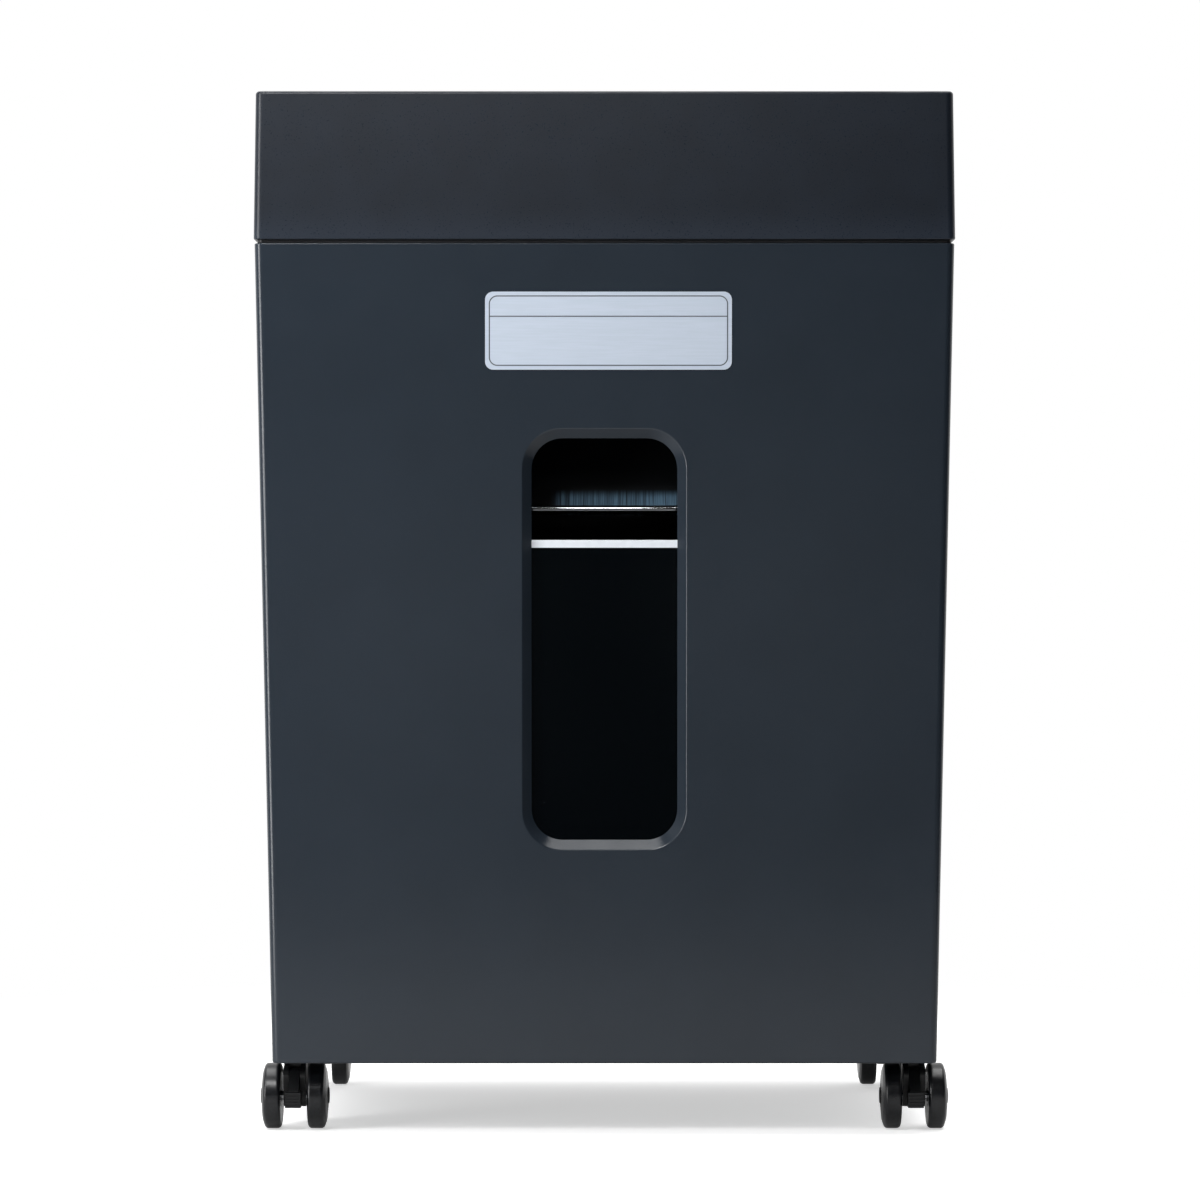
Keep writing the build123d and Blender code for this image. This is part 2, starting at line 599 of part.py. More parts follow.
with BuildPart() as head_cover:
    loft([head_section(HEAD_FOOT_Z), head_section(HEAD_TOP_Z)])
    fillet(head_cover.edges().group_by(Axis.Z)[-1], HEAD_TOP_EASE)
    fillet(head_cover.edges().group_by(Axis.Z)[0], RIM_EASE)
    loft([
        head_section(HEAD_FOOT_Z - PAST_EDGE, HEAD_WALL),
        head_section(TOP_INSIDE_Z, HEAD_WALL),
    ], mode=Mode.SUBTRACT)
    with Locations(*[(x, y, DECK_Z) for x, y in COVER_SCREW_SPOTS]):
        Cylinder(COVER_BOSS_RADIUS, TOP_INSIDE_Z - DECK_Z + OVERLAP, align=BOTTOM)
        Cylinder(COVER_SCREW_SHANK[0] + SEAT_GAP, COVER_BOSS_HOLE, align=BOTTOM, mode=Mode.SUBTRACT)
    with Locations((*PANEL_SPOT, TOP_INSIDE_Z - PAD_THICKNESS)):
        Box(CONTROL_SIZE[0] + 2 * PAD_MARGIN, CONTROL_SIZE[1] + 2 * PAD_MARGIN, PAD_THICKNESS + OVERLAP,
            align=BOTTOM)
    with Locations((REAR_POCKET_SPOT[0], REAR_BLOCK_Y, REAR_POCKET_SPOT[1])):
        Box(REAR_POCKET_SIZE[0] + 2 * PAD_MARGIN, REAR_BLOCK_DEPTH, REAR_POCKET_SIZE[1] + 2 * PAD_MARGIN)
    with BuildSketch(Plane.XY.offset(HEAD_TOP_Z)):
        RectangleRounded(*THROAT_OPENING, THROAT_CORNER)
    extrude(amount=-TOP_CUT, mode=Mode.SUBTRACT)
    with BuildSketch(Plane.XY.offset(HEAD_TOP_Z)):
        with Locations(PANEL_SPOT):
            RectangleRounded(*CONTROL_SIZE, CONTROL_CORNER)
    extrude(amount=-CONTROL_POCKET, mode=Mode.SUBTRACT)
    with BuildSketch(Plane.XY.offset(HEAD_TOP_Z)):
        with Locations(*BUTTON_SPOTS.values()):
            Circle(BUTTON_HOLE)
        with Locations(*LENS_SPOTS):
            Circle(LENS_RADIUS + LENS_GAP)
    extrude(amount=-TOP_CUT, mode=Mode.SUBTRACT)
    with Locations((REAR_POCKET_SPOT[0], REAR_POCKET_FLOOR_Y + REAR_POCKET_CUT / 2, REAR_POCKET_SPOT[1])):
        Box(REAR_POCKET_SIZE[0], REAR_POCKET_CUT, REAR_POCKET_SIZE[1], mode=Mode.SUBTRACT)
    with Locations((SWITCH_X, REAR_HOLE_Y, REAR_POCKET_SPOT[1])):
        Box(*SWITCH_HOLE, mode=Mode.SUBTRACT)
    with Locations((GLAND_X, REAR_HOLE_Y, REAR_POCKET_SPOT[1])):
        Cylinder(*GLAND_HOLE, rotation=(90, 0, 0), mode=Mode.SUBTRACT)
    with Locations(*[(x, VENT_Y, AXIS_Z) for x in VENT_SLOTS]):
        Box(*VENT_SIZE, mode=Mode.SUBTRACT)
save(head_cover, "head_cover")

# Throat liner: a flange under the cover's top, a funnel and two lips above the cutters
with BuildPart() as throat_liner:
    extrude(centred_section(TOP_INSIDE_Z, *LINER_FLANGE), amount=-LINER_FLANGE_THICKNESS)
    loft([
        throat_section(FUNNEL_FOOT_Z, SLOT_OPENING, SLOT_CORNER, LINER_WALL),
        throat_section(TOP_INSIDE_Z - OVERLAP, THROAT_OPENING, THROAT_CORNER, LINER_WALL),
    ])
    extrude(throat_section(LIP_Z, SLOT_OPENING, SLOT_CORNER, LINER_WALL), amount=FUNNEL_FOOT_Z - LIP_Z)
    loft([
        throat_section(FUNNEL_FOOT_Z, SLOT_OPENING, SLOT_CORNER),
        throat_section(TOP_INSIDE_Z, THROAT_OPENING, THROAT_CORNER),
    ], mode=Mode.SUBTRACT)
    extrude(throat_section(LIP_Z, SLOT_OPENING, SLOT_CORNER), amount=FUNNEL_FOOT_Z - LIP_Z,
            mode=Mode.SUBTRACT)
save(throat_liner, "throat_liner")

with BuildPart() as paper_sensor:
    with Locations(*[(0, y, LIP_Z + SENSOR_LIFT) for y in (-SENSOR_Y, SENSOR_Y)]):
        Box(*SENSOR_SIZE, align=BOTTOM)
save(paper_sensor, "paper_sensor")

# Control panel in its pocket, status lenses, three push buttons and the boards under them
PANEL_TOP = HEAD_TOP_Z - CONTROL_POCKET + CONTROL_THICKNESS

with BuildPart() as control_panel:
    with BuildSketch(Plane.XY.offset(HEAD_TOP_Z - CONTROL_POCKET)):
        with Locations(PANEL_SPOT):
            RectangleRounded(CONTROL_SIZE[0] - 2 * CONTROL_GAP, CONTROL_SIZE[1] - 2 * CONTROL_GAP,
                             CONTROL_CORNER - CONTROL_GAP)
        with Locations(*BUTTON_SPOTS.values()):
            Circle(BUTTON_HOLE, mode=Mode.SUBTRACT)
        with Locations(*LENS_SPOTS):
            Circle(LENS_RADIUS + LENS_GAP, mode=Mode.SUBTRACT)
    extrude(amount=CONTROL_THICKNESS)
save(control_panel, "control_panel")

with BuildPart() as status_lenses:
    with Locations(*[(x, y, TOP_INSIDE_Z - PAD_THICKNESS) for x, y in LENS_SPOTS]):
        Cylinder(LENS_RADIUS, PANEL_TOP - TOP_INSIDE_Z + PAD_THICKNESS + LENS_PROUD, align=BOTTOM)
save(status_lenses, "status_lenses")

BUTTON_TOP_Z = HEAD_TOP_Z - BUTTON_SUNK
FLANGE_FOOT_Z = TOP_INSIDE_Z - PAD_THICKNESS - BUTTON_FLANGE_GAP - BUTTON_FLANGE[1]
for button_name, (button_x, button_y) in BUTTON_SPOTS.items():
    with BuildPart() as button:
        with Locations((button_x, button_y, FLANGE_FOOT_Z)):
            Cylinder(*BUTTON_FLANGE, align=BOTTOM)
            Cylinder(BUTTON_RADIUS, BUTTON_TOP_Z - FLANGE_FOOT_Z, align=BOTTOM)
        with Locations((button_x, button_y, BUTTON_STEM_Z)):
            Cylinder(*BUTTON_STEM, align=BOTTOM)
        fillet(button.edges().group_by(Axis.Z)[-1], BUTTON_EASE)
    save(button, button_name)

MAIN_BOARD_Z = DECK_Z + POST_SIZE[1]
MAIN_BOARD_TOP_Z = MAIN_BOARD_Z + BOARD_THICKNESS
with BuildPart() as control_board:
    with Locations((*PANEL_SPOT, KEY_BOARD_Z)):
        Box(*KEY_BOARD_SIZE, BOARD_THICKNESS, align=BOTTOM)
    with Locations(*[(x, y, KEY_BOARD_Z + BOARD_THICKNESS) for x, y in BUTTON_SPOTS.values()]):
        Box(*KEY_SWITCH_SIZE, align=BOTTOM)
    with Locations((*MAIN_BOARD_SPOT, MAIN_BOARD_Z)):
        Box(*MAIN_BOARD_SIZE, BOARD_THICKNESS, align=BOTTOM)
    with Locations(*[(x, y, DECK_Z) for x, y in POST_SPOTS]):
        Cylinder(*POST_SIZE, align=BOTTOM)
    with Locations(*[(x, y, MAIN_BOARD_TOP_Z) for x, y in RELAY_SPOTS]):
        Box(*RELAY_SIZE, align=BOTTOM)
    with Locations((*TRANSFORMER_SPOT, MAIN_BOARD_TOP_Z)):
        Box(*TRANSFORMER_SIZE, align=BOTTOM)
    with Locations(*[(x, y, MAIN_BOARD_TOP_Z) for x, y in CAPACITOR_SPOTS]):
        Cylinder(*CAPACITOR_SIZE, align=BOTTOM)
save(control_board, "control_board")


# Frame of the cutting block: two side plates, four tie rods, bushes and the stripper combs

def side_plate(side, back_y, extra_holes, feet_y):
    """A frame plate on one side; side is -1 for left and 1 for right."""
    inner_x = PLATE_X if side > 0 else -PLATE_X - PLATE_THICKNESS
    with BuildPart() as plate:
        with BuildSketch(Plane.YZ.offset(inner_x)):
            with Locations(((back_y + PLATE_FRONT_Y) / 2, (DECK_Z + PLATE_TOP_Z) / 2)):
                RectangleRounded(back_y - PLATE_FRONT_Y, PLATE_TOP_Z - DECK_Z, PLATE_CORNER)
            with Locations((-CUTTER_Y, AXIS_Z), (CUTTER_Y, AXIS_Z)):
                Circle(BUSH_RADIUS + RUNNING_GAP, mode=Mode.SUBTRACT)
            with Locations(*ROD_SPOTS):
                Circle(ROD_RADIUS + SEAT_GAP, mode=Mode.SUBTRACT)
            with Locations((0, PLATE_TOP_Z)):
                Rectangle(*PLATE_NOTCH, mode=Mode.SUBTRACT)
            for hole_y, hole_radius in extra_holes:
                with Locations((hole_y, AXIS_Z)):
                    Circle(hole_radius, mode=Mode.SUBTRACT)
        extrude(amount=PLATE_THICKNESS)
        foot_x = side * (PLATE_X + PLATE_THICKNESS / 2 + PLATE_FOOT_OUT)
        with Locations(*[(foot_x, y, DECK_Z) for y in feet_y]):
            Box(*PLATE_FOOT_SIZE, align=BOTTOM)
    return plate


save(side_plate(-1, PLATE_BACKS[0], [], PLATE_FEET[0]), "side_plate_left")
drive_holes = [(IDLER_Y, IDLER_AXLE_RADIUS + SEAT_GAP), (MOTOR_Y, MOTOR_NOSE_HOLE)]
save(side_plate(1, PLATE_BACKS[1], drive_holes, PLATE_FEET[1]), "side_plate_right")

with BuildPart() as tie_rods:
    with Locations(*[(0, y, z) for y, z in ROD_SPOTS]):
        Cylinder(ROD_RADIUS, 2 * (PLATE_X + PLATE_THICKNESS + ROD_PROUD), rotation=(0, 90, 0))
save(tie_rods, "tie_rods")

with BuildPart() as shaft_bushes:
    for side in (-1, 1):
        flange_x = side * (PLATE_X + PLATE_THICKNESS + BUSH_FLANGE[1] / 2)
        for bush_y in (-CUTTER_Y, CUTTER_Y):
            with Locations((side * (PLATE_X + PLATE_THICKNESS / 2), bush_y, AXIS_Z)):
                Cylinder(BUSH_RADIUS, PLATE_THICKNESS, rotation=(0, 90, 0))
            with Locations((flange_x, bush_y, AXIS_Z)):
                Cylinder(*BUSH_FLANGE, rotation=(0, 90, 0))
            with Locations((flange_x, bush_y, AXIS_Z)):
                Cylinder(JOURNAL_RADIUS + RUNNING_GAP, CUT_DEPTH / 2, rotation=(0, 90, 0), mode=Mode.SUBTRACT)
save(shaft_bushes, "shaft_bushes")


def stripper_comb(end, finger_spots):
    """A bar with one finger between each pair of discs; end is -1 for front and 1 for rear."""
    with BuildPart() as finger:
        with BuildSketch(Plane.YZ.offset(-FINGER_THICKNESS / 2)):
            with Locations((end * (CUTTER_Y + (FINGER_START + FINGER_END) / 2), AXIS_Z)):
                Rectangle(FINGER_END - FINGER_START, FINGER_HEIGHT)
            with Locations((end * CUTTER_Y, AXIS_Z)):
                Circle(HUB_RADIUS + FINGER_HUB_GAP, mode=Mode.SUBTRACT)
        extrude(amount=FINGER_THICKNESS)
    with BuildPart() as comb:
        with Locations((0, end * (CUTTER_Y + COMB_BAR_OUT), AXIS_Z)):
            Box(2 * PLATE_X, *COMB_BAR_SIZE)
        with Locations(*[(x, 0, 0) for x in finger_spots]):
            add(finger.part)
    return comb


save(stripper_comb(-1, REAR_DISCS), "stripper_comb_front")
save(stripper_comb(1, FRONT_DISCS), "stripper_comb_rear")

# Cutters: hooked discs with hubs, threaded on hexagonal shafts
with BuildPart() as cutter:
    with BuildSketch(Plane.YZ.offset(-DISC_THICKNESS / 2)):
        Circle(DISC_RADIUS)
        with PolarLocations(DISC_RADIUS, HOOKS):
            Polygon(*HOOK_OUTLINE, align=None, mode=Mode.SUBTRACT)
    extrude(amount=DISC_THICKNESS)
    with BuildSketch(Plane.YZ.offset(-HUB_LENGTH / 2)):
        Circle(HUB_RADIUS)
    extrude(amount=HUB_LENGTH)
    with BuildSketch(Plane.YZ.offset(-HUB_LENGTH / 2)):
        RegularPolygon(HEX_ACROSS / 2 + HEX_GAP, 6, major_radius=False)
    extrude(amount=HUB_LENGTH, mode=Mode.SUBTRACT)


def cutter_stack(spots, y, step):
    """A row of cutters, each turned one flat of the hexagon further than the last."""
    places = [Location((x, y, AXIS_Z), (index * step, 0, 0)) for index, x in enumerate(spots)]
    with BuildPart() as stack:
        with Locations(*places):
            add(cutter.part)
    return stack


save(cutter_stack(FRONT_DISCS, -CUTTER_Y, HEX_FLAT), "front_cutter_discs")
save(cutter_stack(REAR_DISCS, CUTTER_Y, -HEX_FLAT), "rear_cutter_discs")


def cutter_shaft(y, right_end_x):
    """A hexagonal shaft with round journals and a turned end for the gear."""
    journal_end = PLATE_X + PLATE_THICKNESS + JOURNAL_PROUD
    left_end = journal_end + LEFT_END_PROUD
    with BuildPart() as shaft:
        with BuildSketch(Plane.YZ.offset(-HEX_LENGTH / 2)):
            with Locations((y, AXIS_Z)):
                RegularPolygon(HEX_ACROSS / 2, 6, major_radius=False)
        extrude(amount=HEX_LENGTH)
        extrude(disc_on_shaft(-left_end, y, JOURNAL_RADIUS), amount=left_end)
        extrude(disc_on_shaft(0, y, JOURNAL_RADIUS), amount=journal_end)
        seat_start = journal_end - PAST_EDGE
        extrude(disc_on_shaft(seat_start, y, GEAR_SEAT_RADIUS), amount=right_end_x - seat_start)
    return shaft


save(cutter_shaft(-CUTTER_Y, FRONT_SHAFT_END_X), "front_cutter_shaft")
save(cutter_shaft(CUTTER_Y, REAR_SHAFT_END_X), "rear_cutter_shaft")

# Gears: the two cutter gears mesh at the middle, then drive gear, compound idler and motor pinion in a row
with BuildPart() as front_cutter_gear:
    extrude(gear_outline(SYNC_X, -CUTTER_Y, SYNC_TEETH, COARSE_MODULE, COARSE_BACKLASH, 0.0),
            amount=SYNC_WIDTH)
    extrude(disc_on_shaft(SYNC_X - PAST_EDGE, -CUTTER_Y, GEAR_SEAT_RADIUS + SEAT_GAP), amount=CUT_DEPTH,
            mode=Mode.SUBTRACT)
save(front_cutter_gear, "front_cutter_gear")

with BuildPart() as rear_cutter_gear:
    extrude(gear_outline(SYNC_X, CUTTER_Y, SYNC_TEETH, COARSE_MODULE, COARSE_BACKLASH,
                         half_pitch(SYNC_TEETH)), amount=SYNC_WIDTH)
    extrude(disc_on_shaft(SYNC_X + PAST_EDGE, CUTTER_Y, DRIVE_HUB_RADIUS), amount=DRIVE_X - SYNC_X)
    extrude(gear_outline(DRIVE_X, CUTTER_Y, DRIVE_TEETH, COARSE_MODULE, COARSE_BACKLASH, 0.0),
            amount=DRIVE_WIDTH)
    extrude(disc_on_shaft(SYNC_X - PAST_EDGE, CUTTER_Y, GEAR_SEAT_RADIUS + SEAT_GAP), amount=CUT_DEPTH,
            mode=Mode.SUBTRACT)
save(rear_cutter_gear, "rear_cutter_gear")

with BuildPart() as idler_gear:
    extrude(gear_outline(IDLER_X, IDLER_Y, IDLER_SMALL_TEETH, COARSE_MODULE, COARSE_BACKLASH,
                         half_pitch(IDLER_SMALL_TEETH)), amount=IDLER_WIDTH)
    extrude(disc_on_shaft(IDLER_X + PAST_EDGE, IDLER_Y, IDLER_HUB_RADIUS), amount=FINE_X - IDLER_X)
    extrude(gear_outline(FINE_X, IDLER_Y, IDLER_LARGE_TEETH, FINE_MODULE, FINE_BACKLASH, 0.0),
            amount=FINE_WIDTH)
    extrude(disc_on_shaft(IDLER_X - PAST_EDGE, IDLER_Y, IDLER_AXLE_RADIUS + RUNNING_GAP), amount=CUT_DEPTH,
            mode=Mode.SUBTRACT)
save(idler_gear, "idler_gear")

with BuildPart() as idler_axle:
    axle_start = PLATE_X - PLATE_THICKNESS / 2
    axle_end = GEAR_COVER_X + GEAR_COVER_FACE
    extrude(disc_on_shaft(axle_start, IDLER_Y, IDLER_AXLE_RADIUS), amount=axle_end - axle_start)
save(idler_axle, "idler_axle")

with BuildPart() as gear_cover:
    with Locations((GEAR_COVER_START_X, GEAR_COVER_Y, DECK_Z)):
        Box(GEAR_COVER_X + GEAR_COVER_FACE - GEAR_COVER_START_X, *GEAR_COVER_SIZE, align=FROM_LEFT)
    fillet(gear_cover.edges().filter_by(Axis.X).group_by(Axis.Z)[-1], GEAR_COVER_EASE)
    with Locations((GEAR_COVER_START_X - OVERLAP, GEAR_COVER_Y, DECK_Z - PAST_EDGE)):
        Box(GEAR_COVER_X - GEAR_COVER_START_X + OVERLAP, GEAR_COVER_SIZE[0] - 2 * GEAR_COVER_WALL,
            GEAR_COVER_SIZE[1] - GEAR_COVER_WALL + PAST_EDGE, align=FROM_LEFT, mode=Mode.SUBTRACT)
    extrude(disc_on_shaft(GEAR_COVER_X - PAST_EDGE, IDLER_Y, IDLER_AXLE_RADIUS + SEAT_GAP), amount=CUT_DEPTH,
            mode=Mode.SUBTRACT)
save(gear_cover, "gear_cover")

# Motor: a closed can against the right side plate, and its shaft with the pinion
with BuildPart() as motor_body:
    extrude(disc_on_shaft(MOTOR_CAN[0], MOTOR_Y, MOTOR_RADIUS), amount=MOTOR_CAN[1])
    extrude(disc_on_shaft(MOTOR_CAPS[0], MOTOR_Y, MOTOR_CAP_RADIUS), amount=MOTOR_CAPS[1])
    with Locations((MOTOR_FOOT_X, MOTOR_Y, DECK_Z)):
        Box(*MOTOR_FOOT_SIZE, align=BOTTOM)
    extrude(disc_on_shaft(MOTOR_BORE_X, MOTOR_Y, MOTOR_SHAFT_RADIUS + RUNNING_GAP), amount=CUT_DEPTH,
            mode=Mode.SUBTRACT)
save(motor_body, "motor_body")

with BuildPart() as motor_shaft:
    extrude(disc_on_shaft(MOTOR_SHAFT[0], MOTOR_Y, MOTOR_SHAFT_RADIUS), amount=MOTOR_SHAFT[1])
    extrude(gear_outline(FINE_X - PAST_EDGE, MOTOR_Y, PINION_TEETH, FINE_MODULE, FINE_BACKLASH,
                         half_pitch(PINION_TEETH)), amount=FINE_WIDTH + 2 * PAST_EDGE)
save(motor_shaft, "motor_shaft")

# Mains switch and cord gland in the rear pocket
POCKET_Z = REAR_POCKET_SPOT[1]
with BuildPart() as power_switch_body:
    with Locations((SWITCH_X, REAR_POCKET_FLOOR_Y + SWITCH_BEZEL[1] / 2, POCKET_Z)):
        Box(*SWITCH_BEZEL)
    with Locations((SWITCH_X, SWITCH_BODY_Y, POCKET_Z)):
        Box(*SWITCH_BODY)
    with Locations((SWITCH_X, SWITCH_WELL_Y, POCKET_Z)):
        Box(*SWITCH_WELL, mode=Mode.SUBTRACT)
    with Locations((SWITCH_X, ROCKER_PIVOT_Y, POCKET_Z)):
        Cylinder(ROCKER_PIN_RADIUS + RUNNING_GAP, ROCKER_PIN_LENGTH + 2 * ROCKER_PIN_END_GAP,
                 rotation=(0, 90, 0), mode=Mode.SUBTRACT)
save(power_switch_body, "power_switch_body")

with BuildPart() as power_rocker:
    with BuildSketch(Plane.YZ.offset(SWITCH_X - ROCKER_WIDTH / 2)):
        with BuildLine():
            Polyline(*ROCKER_OUTLINE, close=True)
        make_face()
    extrude(amount=ROCKER_WIDTH)
    with Locations((SWITCH_X, 0, 0)):
        Cylinder(ROCKER_PIN_RADIUS, ROCKER_PIN_LENGTH, rotation=(0, 90, 0))
power_rocker.part.locate(Location((0, ROCKER_PIVOT_Y, POCKET_Z), (-ROCKER_TILT, 0, 0)))
save(power_rocker, "power_rocker")

with BuildPart() as cord_gland:
    with Locations((GLAND_X, REAR_POCKET_FLOOR_Y, POCKET_Z)):
        Cylinder(*GLAND_FLANGE, rotation=(-90, 0, 0), align=BOTTOM)
    with Locations((GLAND_X, GLAND_NECK_Y, POCKET_Z)):
        Cylinder(*GLAND_NECK, rotation=(90, 0, 0))
    with Locations((GLAND_X, GLAND_NUT_Y, POCKET_Z)):
        Cylinder(*GLAND_NUT, rotation=(90, 0, 0))
    with Locations((GLAND_X, GLAND_NECK_Y, POCKET_Z)):
        Cylinder(GLAND_BORE, CUT_DEPTH, rotation=(90, 0, 0), mode=Mode.SUBTRACT)
save(cord_gland, "cord_gland")

# Front panel: the front of the tapered body with a bevelled window, a collar behind it and screw bosses
with BuildPart() as front_panel:
    loft([body_section(BODY_FOOT_Z), body_section(PANEL_TOP_Z)])
    fillet(front_panel.edges().group_by(Axis.Z)[0], FOOT_EASE)
    fillet(front_panel.edges().group_by(Axis.Z)[-1], RIM_EASE)
    loft([body_section(BODY_FOOT_Z + BODY_WALL, BODY_WALL), body_section(PANEL_TOP_Z - BODY_WALL, BODY_WALL)],
         mode=Mode.SUBTRACT)
    with BuildSketch(face_plane(PANEL_DEPTH)):
        Rectangle(*CUT_SIZE)
    extrude(amount=-CUT_DEPTH, mode=Mode.SUBTRACT)
    extrude(window_section(COLLAR_START, WINDOW_INNER, PANE_MARGIN + COLLAR_WALL), amount=-COLLAR_DEPTH)
    with BuildSketch(face_plane(PANEL_BOSS_START)):
        with Locations(*PANEL_SCREW_SPOTS):
            Circle(PANEL_BOSS_RADIUS)
    extrude(amount=PANEL_BOSS_START + RUNNING_GAP - BIN_DEPTH_BEHIND_FACE)
    loft([window_section(-SEAT_GAP, WINDOW_OUTER), window_section(BEVEL_DEPTH, WINDOW_INNER)],
         mode=Mode.SUBTRACT)
    fillet([edge for edge in front_panel.edges() if on_window_rim(edge.center())], BEVEL_EASE)
    extrude(window_section(BEVEL_DEPTH, WINDOW_INNER), amount=-WINDOW_CUT, mode=Mode.SUBTRACT)
    extrude(lower_window_section(BEVEL_DEPTH, PANE_MARGIN + PANE_GAP, PANE_TOP_Z + STRIP_HEIGHT),
            amount=-WINDOW_CUT, mode=Mode.SUBTRACT)
    with BuildSketch(face_plane(WINDOW_CUT)):
        with Locations(*PANEL_SCREW_SPOTS):
            Circle(PANEL_SCREW_RADIUS + SEAT_GAP)
    extrude(amount=PANEL_SCREW_HOLE_DEPTH, mode=Mode.SUBTRACT)
save(front_panel, "front_panel")

with BuildPart() as window_pane:
    extrude(lower_window_section(BEVEL_DEPTH + PANE_GAP, PANE_MARGIN, PANE_TOP_Z), amount=-PANE_THICKNESS)
save(window_pane, "window_pane")

with BuildPart() as window_edge_strip:
    with BuildSketch(face_plane(BEVEL_DEPTH + PANE_GAP / 2)):
        with Locations((0, PANE_TOP_Z + STRIP_HEIGHT / 2 + PANE_GAP / 2)):
            Rectangle(WINDOW_INNER[0] + 2 * PANE_MARGIN, STRIP_HEIGHT - PANE_GAP)
    extrude(amount=-PANE_THICKNESS - STRIP_PROUD)
    fillet(window_edge_strip.edges().filter_by(Axis.X).group_by(Axis.Y)[0], STRIP_EASE)
save(window_edge_strip, "window_edge_strip")

# Waste bin: a tub behind the panel with a notch at the window, a rim, and glides below it
with BuildPart() as waste_bin:
    loft([bin_section(BIN_FOOT_Z), bin_section(BIN_RIM_Z)])
    extrude(bin_section(BIN_RIM_Z - BIN_RIM_HEIGHT, 0.0, BIN_RIM_FLARE), amount=BIN_RIM_HEIGHT)
    loft([bin_section(BIN_FOOT_Z + BIN_WALL, BIN_WALL), bin_section(BIN_RIM_Z + PAST_EDGE, BIN_WALL)],
         mode=Mode.SUBTRACT)
    cut_start = BIN_DEPTH_BEHIND_FACE - BIN_CUT_START
    extrude(lower_window_section(cut_start, BIN_NOTCH_MARGIN, BIN_RIM_Z + 4 * PAST_EDGE),
            amount=-BIN_NOTCH_DEPTH, mode=Mode.SUBTRACT)
    with BuildSketch(face_plane(cut_start)):
        with Locations(*PANEL_SCREW_SPOTS):
            Circle(PANEL_SCREW_HOLE)
    extrude(amount=-BIN_NOTCH_DEPTH, mode=Mode.SUBTRACT)
save(waste_bin, "waste_bin")

with BuildPart() as bin_glides:
    with Locations(*[(x, RAIL_Y, BIN_FOOT_Z) for x in (-GLIDE_X, GLIDE_X)]):
        Box(*GLIDE_SIZE, align=FROM_TOP)
save(bin_glides, "bin_glides")

with BuildPart() as panel_screws:
    with BuildSketch(face_plane(BIN_DEPTH_BEHIND_FACE + BIN_WALL + RUNNING_GAP)):
        with Locations(*PANEL_SCREW_SPOTS):
            Circle(PANEL_SCREW_HEAD[0])
    extrude(amount=-PANEL_SCREW_HEAD[1])
    with BuildSketch(face_plane(BIN_DEPTH_BEHIND_FACE + BIN_WALL + PAST_EDGE)):
        with Locations(*PANEL_SCREW_SPOTS):
            Circle(PANEL_SCREW_RADIUS)
    extrude(amount=PANEL_SCREW_LENGTH)
save(panel_screws, "panel_screws")


def caster_yoke(x, stem_y, axle_y, pivot):
    """The moulded fork between the two wheels; with a pivot, it also carries a brake pedal."""
    with BuildPart() as yoke:
        with BuildSketch(Plane.YZ.offset(x - YOKE_WIDTH / 2)):
            with Locations((axle_y, WHEEL_RADIUS)):
                Circle(YOKE_AXLE_RADIUS)
            with Locations((stem_y, YOKE_BLOCK_Z)):
                Rectangle(*YOKE_BLOCK_SIZE)
            if pivot:
                with Locations(pivot):
                    Circle(YOKE_PIVOT_RADIUS)
            make_hull()
        extrude(amount=YOKE_WIDTH)
        with Locations((x, stem_y, YOKE_NECK_Z)):
            Cylinder(YOKE_NECK_RADIUS, YOKE_TOP_Z - YOKE_NECK_Z, align=BOTTOM)
        with Locations((x, stem_y, STEM_HOLE[0])):
            Cylinder(STEM_RADIUS + SEAT_GAP, STEM_HOLE[1], align=BOTTOM, mode=Mode.SUBTRACT)
        with Locations((x, axle_y, WHEEL_RADIUS)):
            Cylinder(AXLE_RADIUS + SEAT_GAP, CUT_DEPTH, rotation=(0, 90, 0), mode=Mode.SUBTRACT)
        if pivot:
            with Locations((x, pivot[0] + PEDAL_SLOT_SHIFT[0], pivot[1] + PEDAL_SLOT_SHIFT[1])):
                Box(PEDAL_SLOT, PEDAL_SLOT_LENGTHS[0], PEDAL_SLOT_HEIGHTS[0], mode=Mode.SUBTRACT)
            with Locations((x, axle_y - PEDAL_SLOT_AHEAD, WHEEL_RADIUS)):
                Box(PEDAL_SLOT, PEDAL_SLOT_LENGTHS[1], PEDAL_SLOT_HEIGHTS[1], mode=Mode.SUBTRACT)
            with Locations((x, *pivot)):
                Cylinder(TRUNNION[0] + CASTER_GAP, TRUNNION[1] + 2 * TRUNNION_END_GAP, rotation=(0, 90, 0),
                         mode=Mode.SUBTRACT)
    return yoke


def caster_pins(x, stem_y, axle_y):
    """The swivel stem and the axle of one caster."""
    with BuildPart() as pins:
        with Locations((x, stem_y, STEM_FOOT_Z)):
            Cylinder(STEM_RADIUS, STEM_TOP_Z - STEM_FOOT_Z, align=BOTTOM)
        with Locations((x, axle_y, WHEEL_RADIUS)):
            Cylinder(AXLE_RADIUS, 2 * (WHEEL_OUTER_X - AXLE_END_SUNK), rotation=(0, 90, 0))
    return pins


